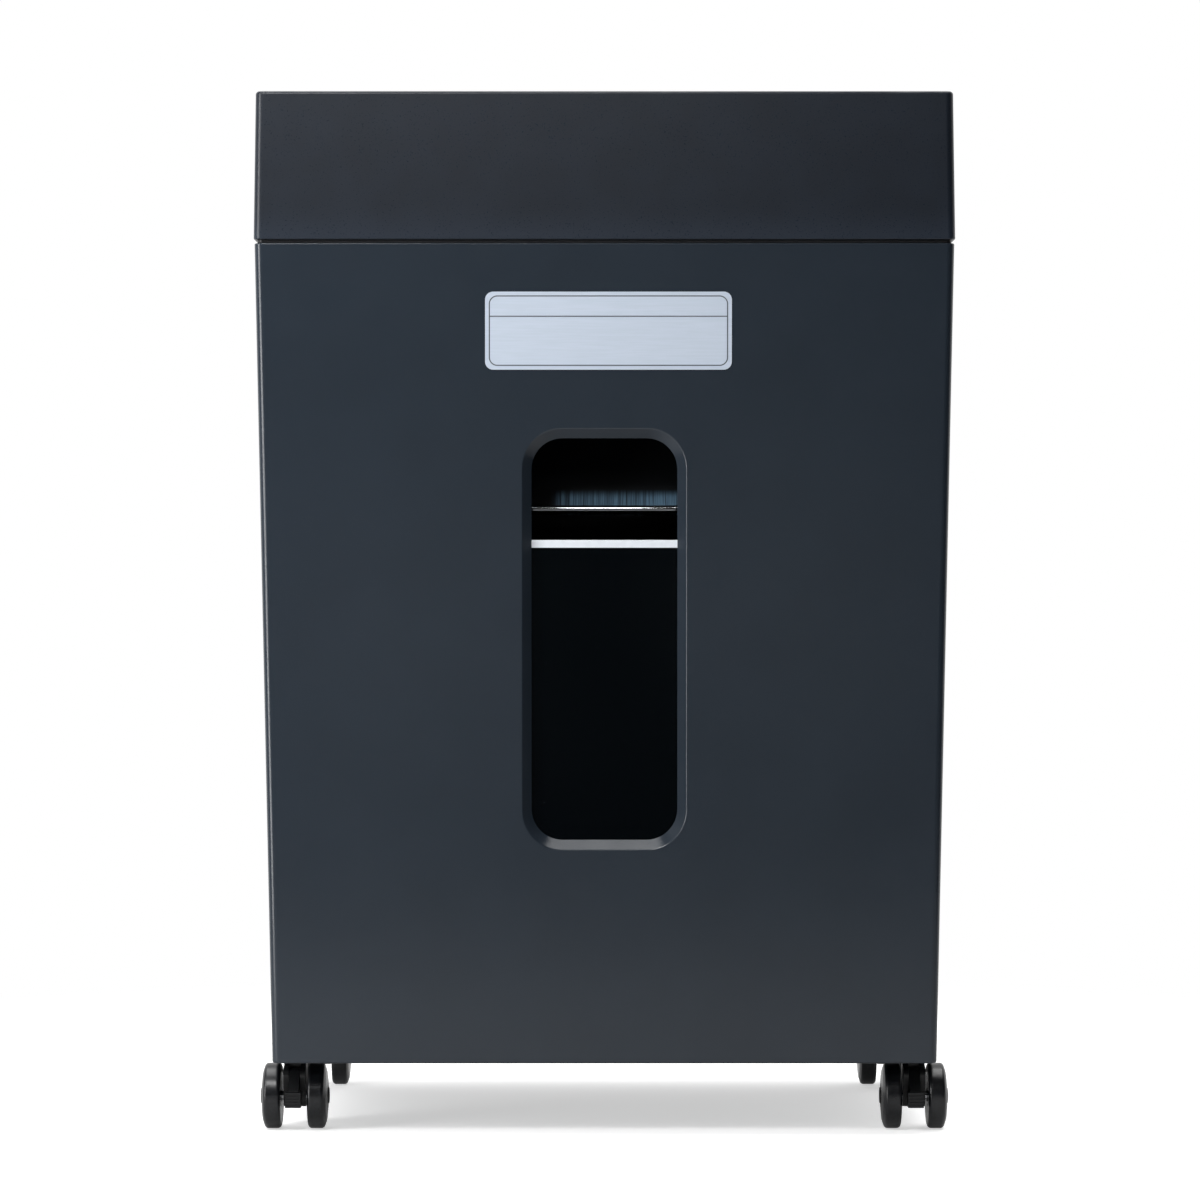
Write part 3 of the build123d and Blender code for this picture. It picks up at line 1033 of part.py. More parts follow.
def caster_wheel(x, axle_y, side):
    """One of the twin wheels: a rounded tread and a domed outer face."""
    axle = Plane(origin=(x, axle_y, WHEEL_RADIUS), x_dir=(1, 0, 0), z_dir=(0, -1, 0))
    bore = AXLE_RADIUS + CASTER_GAP
    with BuildPart() as wheel:
        with BuildSketch(axle) as profile:
            with BuildLine():
                Polyline(
                    (side * WHEEL_INNER_X, bore),
                    (side * WHEEL_INNER_X, WHEEL_RADIUS),
                    (side * WHEEL_TREAD_X, WHEEL_RADIUS),
                    (side * WHEEL_SHOULDER[0], WHEEL_SHOULDER[1]),
                    (side * WHEEL_OUTER_X, WHEEL_DOME_RADIUS),
                    (side * WHEEL_OUTER_X, bore),
                    (side * WHEEL_INNER_X, bore),
                )
            make_face()
            fillet(profile.vertices().group_by(Axis.Z)[-1], WHEEL_EASE)
        revolve(axis=Axis((x, axle_y, WHEEL_RADIUS), (1, 0, 0)))
    return wheel


def brake_pedal(x, axle_y, pivot):
    """A pedal on trunnions in the yoke, with a ribbed foot in front of the wheels."""
    with BuildPart() as pedal:
        with BuildSketch(Plane.YZ.offset(x - PEDAL_SLOT / 2 + PEDAL_SIDE_GAP)):
            with Locations(pivot):
                Circle(PEDAL_EYE_RADIUS)
            with Locations((axle_y - PEDAL_ARM_END[0], PEDAL_ARM_END[1])):
                Circle(PEDAL_ARM_RADIUS)
            make_hull()
        extrude(amount=PEDAL_SLOT - 2 * PEDAL_SIDE_GAP)
        with Locations((x, *pivot)):
            Cylinder(*TRUNNION, rotation=(0, 90, 0))
        with Locations((x, axle_y - PEDAL_FOOT_AHEAD, PEDAL_FOOT_Z)):
            Box(*PEDAL_FOOT_SIZE, align=BOTTOM)
        foot_front = axle_y - PEDAL_FOOT_AHEAD - PEDAL_FOOT_SIZE[1] / 2
        groove_heights = [PEDAL_GROOVE_START + PEDAL_GROOVE_PITCH * row for row in range(PEDAL_GROOVES)]
        with Locations(*[(x, foot_front, PEDAL_FOOT_Z + height) for height in groove_heights]):
            Box(*PEDAL_GROOVE_SIZE, mode=Mode.SUBTRACT)
    return pedal


# Casters: two braked ones in front with the wheels ahead of their stems, two plain ones behind
for corner, (side_x, end_y) in {"fl": (-1, -1), "fr": (1, -1), "rl": (-1, 1), "rr": (1, 1)}.items():
    caster_x = side_x * CASTER_X
    caster_stem_y = end_y * STEM_Y
    caster_axle_y = end_y * (STEM_Y + CASTER_TRAIL)
    braked = end_y < 0
    pedal_pivot = (caster_axle_y - PEDAL_PIVOT_AHEAD, PEDAL_PIVOT_Z) if braked else None
    save(caster_yoke(caster_x, caster_stem_y, caster_axle_y, pedal_pivot), f"caster_{corner}_yoke")
    save(caster_pins(caster_x, caster_stem_y, caster_axle_y), f"caster_{corner}_pins")
    save(caster_wheel(caster_x, caster_axle_y, -1), f"caster_{corner}_wheel_l")
    save(caster_wheel(caster_x, caster_axle_y, 1), f"caster_{corner}_wheel_r")
    if braked:
        save(brake_pedal(caster_x, caster_axle_y, pedal_pivot), f"caster_{corner}_pedal")
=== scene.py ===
"""Looks of the office paper shredder, dressed on its fixed frame.

Lengths are metres in the frame's axes: +Z is up, the front faces -Y, the origin lies on the floor.
"""
import json
import math

import bmesh
import bpy
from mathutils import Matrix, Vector


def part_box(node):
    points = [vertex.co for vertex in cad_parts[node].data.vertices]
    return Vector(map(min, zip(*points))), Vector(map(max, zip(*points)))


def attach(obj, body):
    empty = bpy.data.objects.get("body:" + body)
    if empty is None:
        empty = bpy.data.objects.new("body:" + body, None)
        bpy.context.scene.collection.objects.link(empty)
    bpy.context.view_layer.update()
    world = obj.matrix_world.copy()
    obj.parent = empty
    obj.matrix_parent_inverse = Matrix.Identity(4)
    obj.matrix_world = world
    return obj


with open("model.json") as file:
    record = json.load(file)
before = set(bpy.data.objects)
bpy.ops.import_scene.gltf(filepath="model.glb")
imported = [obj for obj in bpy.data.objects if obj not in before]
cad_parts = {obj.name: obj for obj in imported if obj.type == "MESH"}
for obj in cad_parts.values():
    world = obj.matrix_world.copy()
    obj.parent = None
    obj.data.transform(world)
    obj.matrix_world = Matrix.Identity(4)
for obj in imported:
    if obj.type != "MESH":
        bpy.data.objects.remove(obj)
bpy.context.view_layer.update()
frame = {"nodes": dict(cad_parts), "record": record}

# Camera: level, straight in front of the machine
CAMERA_PLACE = (-0.0028, -2.715, 0.3365)
CAMERA_LENS = 122.2
CAMERA_SENSOR = 36.0

# Round shapes: the angle above which an edge stays sharp, and how finely they are divided
SHARP_ANGLE = math.radians(35.0)
CORNER_STEPS = 8
ARC_STEPS = 20
LATHE_SIDES = 32

# Patterns: scales along the three axes that draw a noise out into lines, and depths of relief
EVEN = (1.0, 1.0, 1.0)
LINES_ALONG_X = (0.05, 1.0, 1.0)
LINES_ALONG_Y = (1.0, 0.05, 1.0)
LINES_ROUND_X = (1.0, 0.4, 0.4)
BLURRED_LINES = (0.2, 1.0, 1.0)
STREAKS_DOWN = (1.0, 0.02, 0.02)
COPPER_RUNS = (1.0, 3.0, 1.0)
NOISE_ROUGHNESS = 0.55
GRAIN_DEPTH = 0.00004
SCUFF_DEPTH = 0.00003
BRUSH_DEPTH = 0.00002
RIPPLE_DEPTH = 0.00001

# Leaning front face of the body
FACE_FOOT_Y = -0.1542
FACE_FOOT_Z = 0.045
FACE_SLOPE = 0.01998

# Bare label plate above the window
LABEL_MIDDLE = (0.0025, 0.5052)
LABEL_SIZE = (0.1546, 0.0488)
LABEL_CORNER = 0.0050
LABEL_THICKNESS = 0.0004
LABEL_FRAME_INSET = 0.0027
LABEL_DIVIDER_Z = 0.5142
LABEL_LINE = 0.0006
LABEL_LINE_FADE = (LABEL_LINE * 0.4, LABEL_LINE * 0.8)
LABEL_INSIDE_FADE = 0.0004

# Exit chute: its rounded lip, the steel trim over it, and paper dust above it, a pale band of painted light
# whose top and sides fade into painted shadow
LIP_MIDDLE = (-0.1186, 0.3945)
LIP_RADIUS = 0.0026
LIP_HALF_WIDTH = 0.1585
TRIM_THICKNESS = 0.00015
TRIM_ARC = (100, 250)
DUST_AND_PAINTED_LIGHT_REACH = 0.0065
PAINTED_LIGHT_MIDDLE_X = 0.035
PAINTED_LIGHT_HALF_WIDTH = (0.0595, 0.070)

# Head: its lower edge and the height of the band of painted light above it
HEAD_FOOT_Z = 0.5625
HEAD_PAINTED_LIGHT_BAND = 0.022

# Throat funnel's slope, from the slot up, and low ribs on it that take a share of its length
FUNNEL_FOOT = (0.004, 0.636)
FUNNEL_TOP = (0.023, 0.6525)
RIB_COUNT = 17
RIB_PITCH = 0.018
RIB_SIZE = (0.0016, 0.0014)
RIB_SHARE = 0.86

# Screws in the back wall: the place of the first, the step to the next and the size of a head
REAR_SCREW_COUNT = 3
REAR_SCREW_START = (-0.18, 0.16375, 0.535)
REAR_SCREW_STEP = (0.18, 0.0, 0.0)
REAR_SCREW_RADIUS = 0.0036
REAR_SCREW_HEIGHT = 0.0011

# Shape of a screw head and its cross recess, as shares of the head's radius and height
SCREW_SIDES = 24
SCREW_TOP = 0.8
RECESS_LENGTH = 1.2
RECESS_WIDTH = 0.22
RECESS_LIFT = 1.05

# Casters; a hub cap's profile is pairs of the way out along the axle and the radius there
CASTER_X = 0.197
AXLE_Y = 0.118
AXLE_Z = 0.02075
WHEEL_FACE = 0.021
TREAD_EDGE = (0.0163, 0.0168)
CORNERS = {"fl": (-1, -1), "fr": (1, -1), "rl": (-1, 1), "rr": (1, 1)}
HUB_CAP_PROFILE = [
    (-0.0012, 0.0052),
    (0.0003, 0.0052),
    (0.0007, 0.0048),
    (0.0007, 0.0031),
    (0.0004, 0.0027),
    (0.0004, 0.0006),
]

# Mains rocker at the back: its pivot, its tilt at rest, its hollow face and its signs
ROCKER_PIVOT = (-0.148, 0.157, 0.603)
ROCKER_TILT = math.radians(8.0)
ROCKER_FACE = 0.0042
ROCKER_FLARE = 1 / 9
ROCKER_SIGN_Z = 0.0052
ROCKER_STROKE = (-0.0018, 0.0018)
ROCKER_RING = (0.0013, 0.0018)

# Signs on the push buttons
POWER_ARC = (130, 410)
POWER_RING = (0.0021, 0.0027)
POWER_STROKE = (0.0006, 0.0031)
ARROW_HEIGHT = 0.003
ARROW_HALF_WIDTH = 0.0024
ARROW_TIP_SHARE = 0.6

# Circuit boards: the heights of their middles, half their thickness, and the fade to what stands on them
BOARD_LEVELS = (0.6388, 0.5783)
BOARD_HALF = 0.00085
BOARD_FADE = 0.0001

# Signs: how far they stand out, how far inside they and the label start, and the width of a stroke
SIGN_THICKNESS = 0.00005
SIGN_DEPTH = 0.00002
SIGN_STROKE = 0.0006

# Studio: floor with greys from 0 to 255, surround, and each lamp's place, aim, size and power in watts
FLOOR_REACH = 1.0
FLOOR_DROP = 0.0002
FLOOR_FADE = (0.45, 0.9)
FLOOR_LIFT = 0.52
FLOOR_PALE = 236
FLOOR_GREY = 178
FLOOR_MIRRORED = 0.2
WORLD_FRONT = 0.03
WORLD_BACK = 1.8
WORLD_FADE = (0.0, 0.5)
WHITE = (1.0, 1.0, 1.0, 1.0)
LAMPS = {
    "key": ((-0.43, -1.26, 1.40), (0.0, -0.15, 0.40), (0.4, 0.4), 10.8),
    "left_strip": ((-0.95, -0.70, 0.45), (0.0, -0.15, 0.38), (0.3, 1.5), 13.5),
    "top_wide": ((0.0, 0.2, 2.4), (0.0, 0.2, 0.4), (2.0, 1.6), 48.0),
    "front_spark": ((0.0, -1.6, 1.15), (0.0, -0.12, 0.40), (0.09, 0.12), 0.8),
    "left_card": ((-0.28, -2.9, 0.17), (-0.13, -0.16, 0.31), (0.12, 0.12), 0.24),
    "right_card": ((0.27, -2.9, 0.20), (0.13, -0.16, 0.33), (0.12, 0.12), 0.2),
}

# Named inputs that every geometry tree for a row of pieces has
ROW_INPUTS = {
    "Count": "NodeSocketInt",
    "Start": "NodeSocketVector",
    "Step": "NodeSocketVector",
    "Turn": "NodeSocketRotation",
    "Material": "NodeSocketMaterial",
}


def screen_colour(red, green, blue):
    """A colour given as 0 to 255 on screen, as linear values with alpha."""
    def linear(part):
        part /= 255
        return part / 12.92 if part <= 0.04045 else ((part + 0.055) / 1.055) ** 2.4
    return (linear(red), linear(green), linear(blue), 1.0)


def shade(colour, factor):
    """A lighter or darker version of a colour."""
    return (*[min(1.0, part * factor) for part in colour[:3]], 1.0)


class Number:
    """A socket that carries one number; arithmetic on it adds Math nodes."""

    def __init__(self, tree, socket):
        self.tree = tree
        self.socket = socket

    def math(self, operation, *others):
        sockets = dict(enumerate((self, *others)))
        made = self.tree.node("ShaderNodeMath", {"operation": operation}, sockets)
        return Number(self.tree, made.outputs[0])

    def __add__(self, other):
        return self.math("ADD", other)

    def __sub__(self, other):
        return self.math("SUBTRACT", other)

    def __rsub__(self, other):
        made = self.tree.node("ShaderNodeMath", {"operation": "SUBTRACT"}, {0: other, 1: self})
        return Number(self.tree, made.outputs[0])

    def __mul__(self, other):
        return self.math("MULTIPLY", other)

    def __pow__(self, other):
        return self.math("POWER", other)

    def __abs__(self):
        return self.math("ABSOLUTE")

    __radd__ = __add__
    __rmul__ = __mul__

    def most(self, other):
        return self.math("MAXIMUM", other)

    def least(self, other):
        return self.math("MINIMUM", other)

    def root(self):
        return self.math("SQRT")

    def between(self, low, high):
        """0 below low, 1 above high and a smooth step in the middle."""
        made = self.tree.node("ShaderNodeMapRange", {"interpolation_type": "SMOOTHSTEP"},
                              {"Value": self, "From Min": low, "From Max": high})
        return Number(self.tree, made.outputs["Result"])


class Tree:
    """A node tree; one method adds any node with its settings and sockets."""

    def __init__(self, tree):
        self.tree = tree

    def node(self, kind, settings=None, sockets=None):
        made = self.tree.nodes.new(kind)
        for name, value in (settings or {}).items():
            setattr(made, name, value)
        for name, value in (sockets or {}).items():
            self.plug(value, made.inputs[name])
        return made

    def plug(self, value, socket):
        if isinstance(value, Number):
            value = value.socket
        if isinstance(value, bpy.types.NodeSocket):
            self.tree.links.new(value, socket)
        else:
            socket.default_value = value

    def shown(self, mirrored):
        """1 for what is seen straight or through the window, a share of it in gloss, 0 for other light."""
        path = self.node("ShaderNodeLightPath")
        straight = Number(self, path.outputs["Is Camera Ray"])
        through = Number(self, path.outputs["Is Transmission Ray"])
        in_gloss = Number(self, path.outputs["Is Glossy Ray"]) * mirrored
        return straight.most(through).most(in_gloss)

    def blend(self, factor, low, high):
        """A mix of two shaders."""
        return self.node("ShaderNodeMixShader", sockets={0: factor, 1: low, 2: high}).outputs[0]


class Finish(Tree):
    """A material whose pattern reads the piece's own coordinates."""

    def __init__(self, name):
        self.material = bpy.data.materials.new(name)
        self.material.use_nodes = True
        super().__init__(self.material.node_tree)
        self.tree.nodes.clear()
        self.coordinates = self.node("ShaderNodeTexCoord").outputs["Object"]

    def place(self):
        """The three coordinates as numbers."""
        parts = self.node("ShaderNodeSeparateXYZ", sockets={"Vector": self.coordinates})
        return [Number(self, parts.outputs[name]) for name in "XYZ"]

    def stretched(self, stretch):
        """The coordinates, scaled along each axis."""
        mapping = self.node("ShaderNodeMapping", sockets={"Vector": self.coordinates, "Scale": stretch})
        return mapping.outputs["Vector"]

    def noise(self, scale, detail=2.0, stretch=EVEN):
        """Noise from 0 to 1; scale is the number of blobs to a metre."""
        made = self.node("ShaderNodeTexNoise", sockets={
            "Vector": self.stretched(stretch),
            "Scale": scale,
            "Detail": detail,
            "Roughness": NOISE_ROUGHNESS,
        })
        return Number(self, made.outputs["Fac"])

    def cells(self, scale, stretch=EVEN):
        """The distance to the nearest of many scattered points."""
        sockets = {"Vector": self.stretched(stretch), "Scale": scale}
        made = self.node("ShaderNodeTexVoronoi", sockets=sockets)
        return Number(self, made.outputs["Distance"])

    def mix(self, factor, low, high):
        """A mix of two colours; the node's colour sockets are its inputs 6 and 7 and its output 2."""
        made = self.node("ShaderNodeMix", {"data_type": "RGBA"}, {0: factor, 6: low, 7: high})
        return made.outputs[2]

    def bump(self, height, depth):
        """A normal that follows a height, which spans the given depth."""
        made = self.node("ShaderNodeBump", sockets={"Height": height, "Distance": depth, "Strength": 1.0})
        return made.outputs["Normal"]

    def done(self, **sockets):
        """The shader itself; names in the call are its sockets with _ for blanks."""
        named = {name.replace("_", " "): value for name, value in sockets.items()}
        shader = self.node("ShaderNodeBsdfPrincipled", sockets=named)
        output = self.node("ShaderNodeOutputMaterial", sockets={"Surface": shader.outputs["BSDF"]})
        output.is_active_output = True
        return self.material


def moulded_plastic(name, colour, roughness, grain=1400.0, shine=0.4):
    """Matte moulded plastic: a fine grain and faint clouds of tone."""
    finish = Finish(name)
    clouds = finish.noise(18.0, detail=3.0)
    grains = finish.noise(grain)
    tone = (clouds * 0.7 + grains * 0.3).between(0.3, 0.7)
    return finish.done(
        Base_Color=finish.mix(tone, shade(colour, 0.95), shade(colour, 1.05)),
        Roughness=roughness - 0.05 + finish.noise(60.0) * 0.1,
        Specular_IOR_Level=shine,
        Normal=finish.bump(grains, GRAIN_DEPTH),
    )


def sparkling_plastic(name, colour, roughness):
    """The head's plastic: cloudy, with a grain that glitters and a band of painted light that is paler
    towards the lower edge.
    """
    finish = Finish(name)
    _, _, z = finish.place()
    clouds = finish.noise(45.0, detail=4.0)
    grains = finish.noise(1500.0, detail=3.0)
    flecks = finish.noise(1100.0, detail=1.0).between(0.60, 0.72)
    # Painted light: the base colour turns paler towards the lower edge.
    painted_light_band = 1 - z.between(HEAD_FOOT_Z, HEAD_FOOT_Z + HEAD_PAINTED_LIGHT_BAND)
    ground = finish.mix(clouds.between(0.3, 0.7), shade(colour, 0.9), shade(colour, 1.1))
    return finish.done(
        Base_Color=finish.mix((flecks * 0.5).most(painted_light_band * 0.6), ground, shade(colour, 1.9)),
        Roughness=roughness - flecks * 0.12,
        Specular_IOR_Level=0.4,
        Normal=finish.bump(grains, GRAIN_DEPTH),
    )


def brushed_steel(name, colour, roughness, stretch, depth=BRUSH_DEPTH):
    """Bright steel with fine lines along one axis."""
    finish = Finish(name)
    lines = finish.noise(900.0, stretch=stretch)
    stains = finish.noise(30.0, detail=3.0)
    return finish.done(
        Base_Color=finish.mix(stains.between(0.35, 0.75), shade(colour, 0.9), shade(colour, 1.05)),
        Metallic=1.0,
        Roughness=roughness * (0.8 + lines * 0.4),
        Normal=finish.bump(lines, depth),
    )


def smoked_sheet(name):
    """The window's dark clear sheet, with dust on it."""
    finish = Finish(name)
    dust = 1 - finish.cells(160.0).between(0.03, 0.07)
    sparse = finish.noise(60.0).between(0.52, 0.66)
    specks = dust * sparse
    haze = finish.noise(9.0, detail=4.0)
    return finish.done(
        Base_Color=finish.mix(specks, screen_colour(4, 7, 10), screen_colour(70, 76, 82)),
        Roughness=0.06 + haze * 0.08 + specks * 0.5,
        Alpha=0.92 + specks * 0.08,
        Specular_IOR_Level=0.2,
    )


def gloss_plastic(name, colour, roughness):
    """Shiny moulded plastic with a slight ripple."""
    finish = Finish(name)
    ripple = finish.noise(220.0)
    return finish.done(
        Base_Color=finish.mix(ripple.between(0.3, 0.7), shade(colour, 0.97), shade(colour, 1.03)),
        Roughness=roughness + finish.noise(40.0) * 0.06,
        Normal=finish.bump(ripple, RIPPLE_DEPTH),
    )


def streaked_plastic_with_painted_light(name):
    """The chute's black plastic, with streaks of paper dust just above its lip, painted pale as a lit patch
    that ends in painted shadow above and at its sides.
    """
    finish = Finish(name)
    x, _, z = finish.place()
    # Painted light: the dust is pale only below a painted shadow edge, and it fades into painted shade at
    # its sides.
    low = 1 - z.between(LIP_MIDDLE[1] + DUST_AND_PAINTED_LIGHT_REACH, LIP_MIDDLE[1] + DUST_AND_PAINTED_LIGHT_REACH * 2)
    inside_painted_light = 1 - abs(x - PAINTED_LIGHT_MIDDLE_X).between(*PAINTED_LIGHT_HALF_WIDTH)
    streaks = finish.noise(700.0, detail=3.0, stretch=STREAKS_DOWN)
    fine = finish.noise(2200.0, detail=1.0, stretch=STREAKS_DOWN)
    dust = (streaks * 0.6 + fine * 0.4).between(0.25, 0.75) * low * inside_painted_light
    return finish.done(
        Base_Color=finish.mix(dust, screen_colour(9, 11, 14), screen_colour(96, 128, 152)),
        Roughness=0.5 + fine * 0.1,
        Specular_IOR_Level=0.1,
        Normal=finish.bump(streaks, GRAIN_DEPTH),
    )


def silver_film(name):
    """The bare label: pale silver film with a thin printed frame and a divider."""
    finish = Finish(name)
    x, _, z = finish.place()
    half_x = LABEL_SIZE[0] / 2 - LABEL_FRAME_INSET - LABEL_CORNER
    half_z = LABEL_SIZE[1] / 2 - LABEL_FRAME_INSET - LABEL_CORNER
    over_x = abs(x - LABEL_MIDDLE[0]) - half_x
    over_z = abs(z - LABEL_MIDDLE[1]) - half_z
    corner = (over_x.most(0.0) ** 2.0 + over_z.most(0.0) ** 2.0).root()
    edge = corner + over_x.most(over_z).least(0.0) - LABEL_CORNER
    line = 1 - abs(edge).between(*LABEL_LINE_FADE)
    divider = 1 - abs(z - LABEL_DIVIDER_Z).between(*LABEL_LINE_FADE)
    inside = 1 - edge.between(-LABEL_INSIDE_FADE, 0.0)
    ink = line.most(divider * inside)
    sheen = finish.noise(900.0, stretch=LINES_ALONG_X)
    paper = finish.mix(sheen.between(0.3, 0.7), screen_colour(195, 206, 220), screen_colour(200, 210, 225))
    return finish.done(
        Base_Color=finish.mix(ink * 0.9, paper, screen_colour(38, 44, 52)),
        Roughness=0.38 + sheen * 0.1,
        Specular_IOR_Level=0.3,
        Normal=finish.bump(sheen, RIPPLE_DEPTH),
    )


def wheel_plastic(name):
    """Caster wheel: a scuffed tread round a darker, shinier middle."""
    finish = Finish(name)
    _, y, z = finish.place()
    reach = ((abs(y) - AXLE_Y) ** 2.0 + (z - AXLE_Z) ** 2.0).root()
    tread = reach.between(*TREAD_EDGE)
    scuffs = finish.noise(500.0, detail=3.0)
    worn = scuffs.between(0.35, 0.7)
    outside = finish.mix(worn, screen_colour(12, 13, 16), screen_colour(22, 24, 28))
    middle = finish.mix(worn, screen_colour(9, 10, 12), screen_colour(15, 16, 19))
    return finish.done(
        Base_Color=finish.mix(tread, middle, outside),
        Roughness=0.16 + tread * 0.08 + scuffs * 0.12,
        Normal=finish.bump(scuffs, SCUFF_DEPTH),
    )


def circuit_board(name):
    """Green solder mask with faint copper runs under it, and dark parts standing on it."""
    finish = Finish(name)
    _, _, z = finish.place()
    off_boards = [abs(z - level).between(BOARD_HALF, BOARD_HALF + BOARD_FADE) for level in BOARD_LEVELS]
    standing = off_boards[0].least(off_boards[1])
    runs = finish.cells(140.0, stretch=COPPER_RUNS).between(0.25, 0.32)
    mask = finish.mix(runs, screen_colour(22, 74, 44), screen_colour(34, 104, 62))
    return finish.done(
        Base_Color=finish.mix(standing, mask, screen_colour(30, 31, 35)),
        Roughness=0.34 + finish.noise(300.0) * 0.1,
    )


# One finish for every kind of surface on the machine
body_satin = moulded_plastic("body_satin", screen_colour(38, 46, 55), 0.24, shine=0.5)
head_satin = sparkling_plastic("head_satin", screen_colour(26, 32, 41), 0.36)
black_satin = moulded_plastic("black_satin", screen_colour(24, 25, 28), 0.42, grain=1100.0)
caster_satin = moulded_plastic("caster_satin", screen_colour(14, 15, 17), 0.38, grain=900.0)
natural_nylon = moulded_plastic("natural_nylon", screen_colour(214, 211, 200), 0.45)
motor_enamel = moulded_plastic("motor_enamel", screen_colour(34, 35, 38), 0.3)
panel_gloss = gloss_plastic("panel_gloss", screen_colour(14, 15, 18), 0.1)
key_satin = gloss_plastic("key_satin", screen_colour(150, 154, 160), 0.3)
strip_white = gloss_plastic("strip_white", screen_colour(238, 242, 249), 0.3)
lens_green = gloss_plastic("lens_green", screen_colour(60, 120, 80), 0.15)
print_dark = gloss_plastic("print_dark", screen_colour(40, 44, 50), 0.4)
print_white = gloss_plastic("print_white", screen_colour(206, 208, 210), 0.4)
chute_streaks_and_painted_light = streaked_plastic_with_painted_light("chute_streaks_and_painted_light")
window_smoke = smoked_sheet("window_smoke")
label_silver = silver_film("label_silver")
wheel_dark = wheel_plastic("wheel_dark")
board_green = circuit_board("board_green")
polished_steel = brushed_steel(
    "polished_steel", screen_colour(214, 217, 221), 0.06, LINES_ALONG_X, depth=0.0)
turned_steel = brushed_steel("turned_steel", screen_colour(196, 198, 201), 0.28, LINES_ALONG_X)
plated_steel = brushed_steel("plated_steel", screen_colour(182, 185, 188), 0.36, LINES_ALONG_Y)
cutter_steel = brushed_steel("cutter_steel", screen_colour(150, 150, 152), 0.3, LINES_ROUND_X)
bush_bronze = brushed_steel("bush_bronze", screen_colour(186, 146, 96), 0.4, BLURRED_LINES)

FINISH_OF_SLOT = {
    "body_plastic": body_satin,
    "head_plastic": head_satin,
    "black_plastic": black_satin,
    "nylon": natural_nylon,
    "gloss_black": panel_gloss,
    "key_plastic": key_satin,
    "lens": lens_green,
    "board": board_green,
    "plate_steel": plated_steel,
    "bright_steel": turned_steel,
    "cutter_steel": cutter_steel,
    "bronze": bush_bronze,
    "motor_paint": motor_enamel,
    "smoked_pane": window_smoke,
    "white_plastic": strip_white,
    "caster_plastic": caster_satin,
    "wheel_plastic": wheel_dark,
}
OWN_FINISH = {"exit_chute": chute_streaks_and_painted_light}


def paint_frame():
    """Give every node of the frame its finish."""
    for part in frame["record"]["subparts"]:
        node = frame["nodes"][part["node"]]
        finish = OWN_FINISH.get(part["node"], FINISH_OF_SLOT[part["material_slot"]])
        node.data.materials.clear()
        node.data.materials.append(finish)


def piece(name, mesh, body, finish):
    """A finished piece that moves with a body; finish is None where the mesh has its own."""
    if finish:
        mesh.materials.clear()
        mesh.materials.append(finish)
    made = bpy.data.objects.new(name, mesh)
    bpy.context.collection.objects.link(made)
    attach(made, body)


def mesh_from(name, build):
    """A mesh filled by a function that gets an empty bmesh, smooth except at its sharp edges."""
    shape = bmesh.new()
    build(shape)
    bmesh.ops.recalc_face_normals(shape, faces=shape.faces)
    mesh = bpy.data.meshes.new(name)
    shape.to_mesh(mesh)
    shape.free()
    mesh.shade_smooth()
    mesh.set_sharp_from_angle(angle=SHARP_ANGLE)
    return mesh


def face_y(z):
    """Where the leaning front face lies at one height."""
    return FACE_FOOT_Y - (z - FACE_FOOT_Z) * FACE_SLOPE


def rounded_outline(width, height, radius):
    """Points round a rectangle with round corners, about its middle."""
    points = []
    for quarter, (side_x, side_y) in enumerate([(1, 1), (-1, 1), (-1, -1), (1, -1)]):
        middle = (side_x * (width / 2 - radius), side_y * (height / 2 - radius))
        for step in range(CORNER_STEPS + 1):
            angle = math.pi / 2 * (quarter + step / CORNER_STEPS)
            points.append((middle[0] + radius * math.cos(angle), middle[1] + radius * math.sin(angle)))
    return points


def slab(shape, outline, place, thickness):
    """A plate with a given outline; place turns (u, v, height) into a point."""
    low = [shape.verts.new(place(u, v, 0.0)) for u, v in outline]
    high = [shape.verts.new(place(u, v, thickness)) for u, v in outline]
    shape.faces.new(low)
    shape.faces.new(high)
    for index in range(len(outline)):
        after = (index + 1) % len(outline)
        shape.faces.new((low[index], low[after], high[after], high[index]))


def add_label():
    """The bare label plate on the front panel."""
    def place(u, v, height):
        z = LABEL_MIDDLE[1] + v
        return (LABEL_MIDDLE[0] + u, face_y(z) - height + SIGN_DEPTH, z)

    def build(shape):
        slab(shape, rounded_outline(*LABEL_SIZE, LABEL_CORNER), place, LABEL_THICKNESS)
    piece("label_plate", mesh_from("label_plate", build), "bin", label_silver)


def lathe(shape, profile, middle, axis_x):
    """Turn a profile of (along, radius) pairs about an X axis; axis_x is 1 or -1."""
    rings = []
    for along, radius in profile:
        ring = []
        for side in range(LATHE_SIDES):
            angle = 2 * math.pi * side / LATHE_SIDES
            y = middle[1] + radius * math.cos(angle)
            z = middle[2] + radius * math.sin(angle)
            ring.append(shape.verts.new((middle[0] + axis_x * along, y, z)))
        rings.append(ring)
    for ring, following in zip(rings, rings[1:]):
        for side in range(LATHE_SIDES):
            after = (side + 1) % LATHE_SIDES
            shape.faces.new((ring[side], ring[after], following[after], following[side]))
    shape.faces.new(rings[0])
    shape.faces.new(rings[-1])


def add_hub_caps():
    """A pressed cap over each wheel's axle end."""
    for corner, (side, end) in CORNERS.items():
        for letter, out in (("l", -1), ("r", 1)):
            middle = (side * CASTER_X + out * WHEEL_FACE, end * AXLE_Y, AXLE_Z)
            mesh = mesh_from("hub_cap", lambda shape: lathe(shape, HUB_CAP_PROFILE, middle, out))
            body = f"caster_{corner}_wheel_{letter}"
            piece(f"hub_cap_{corner}_{letter}", mesh, body, caster_satin)


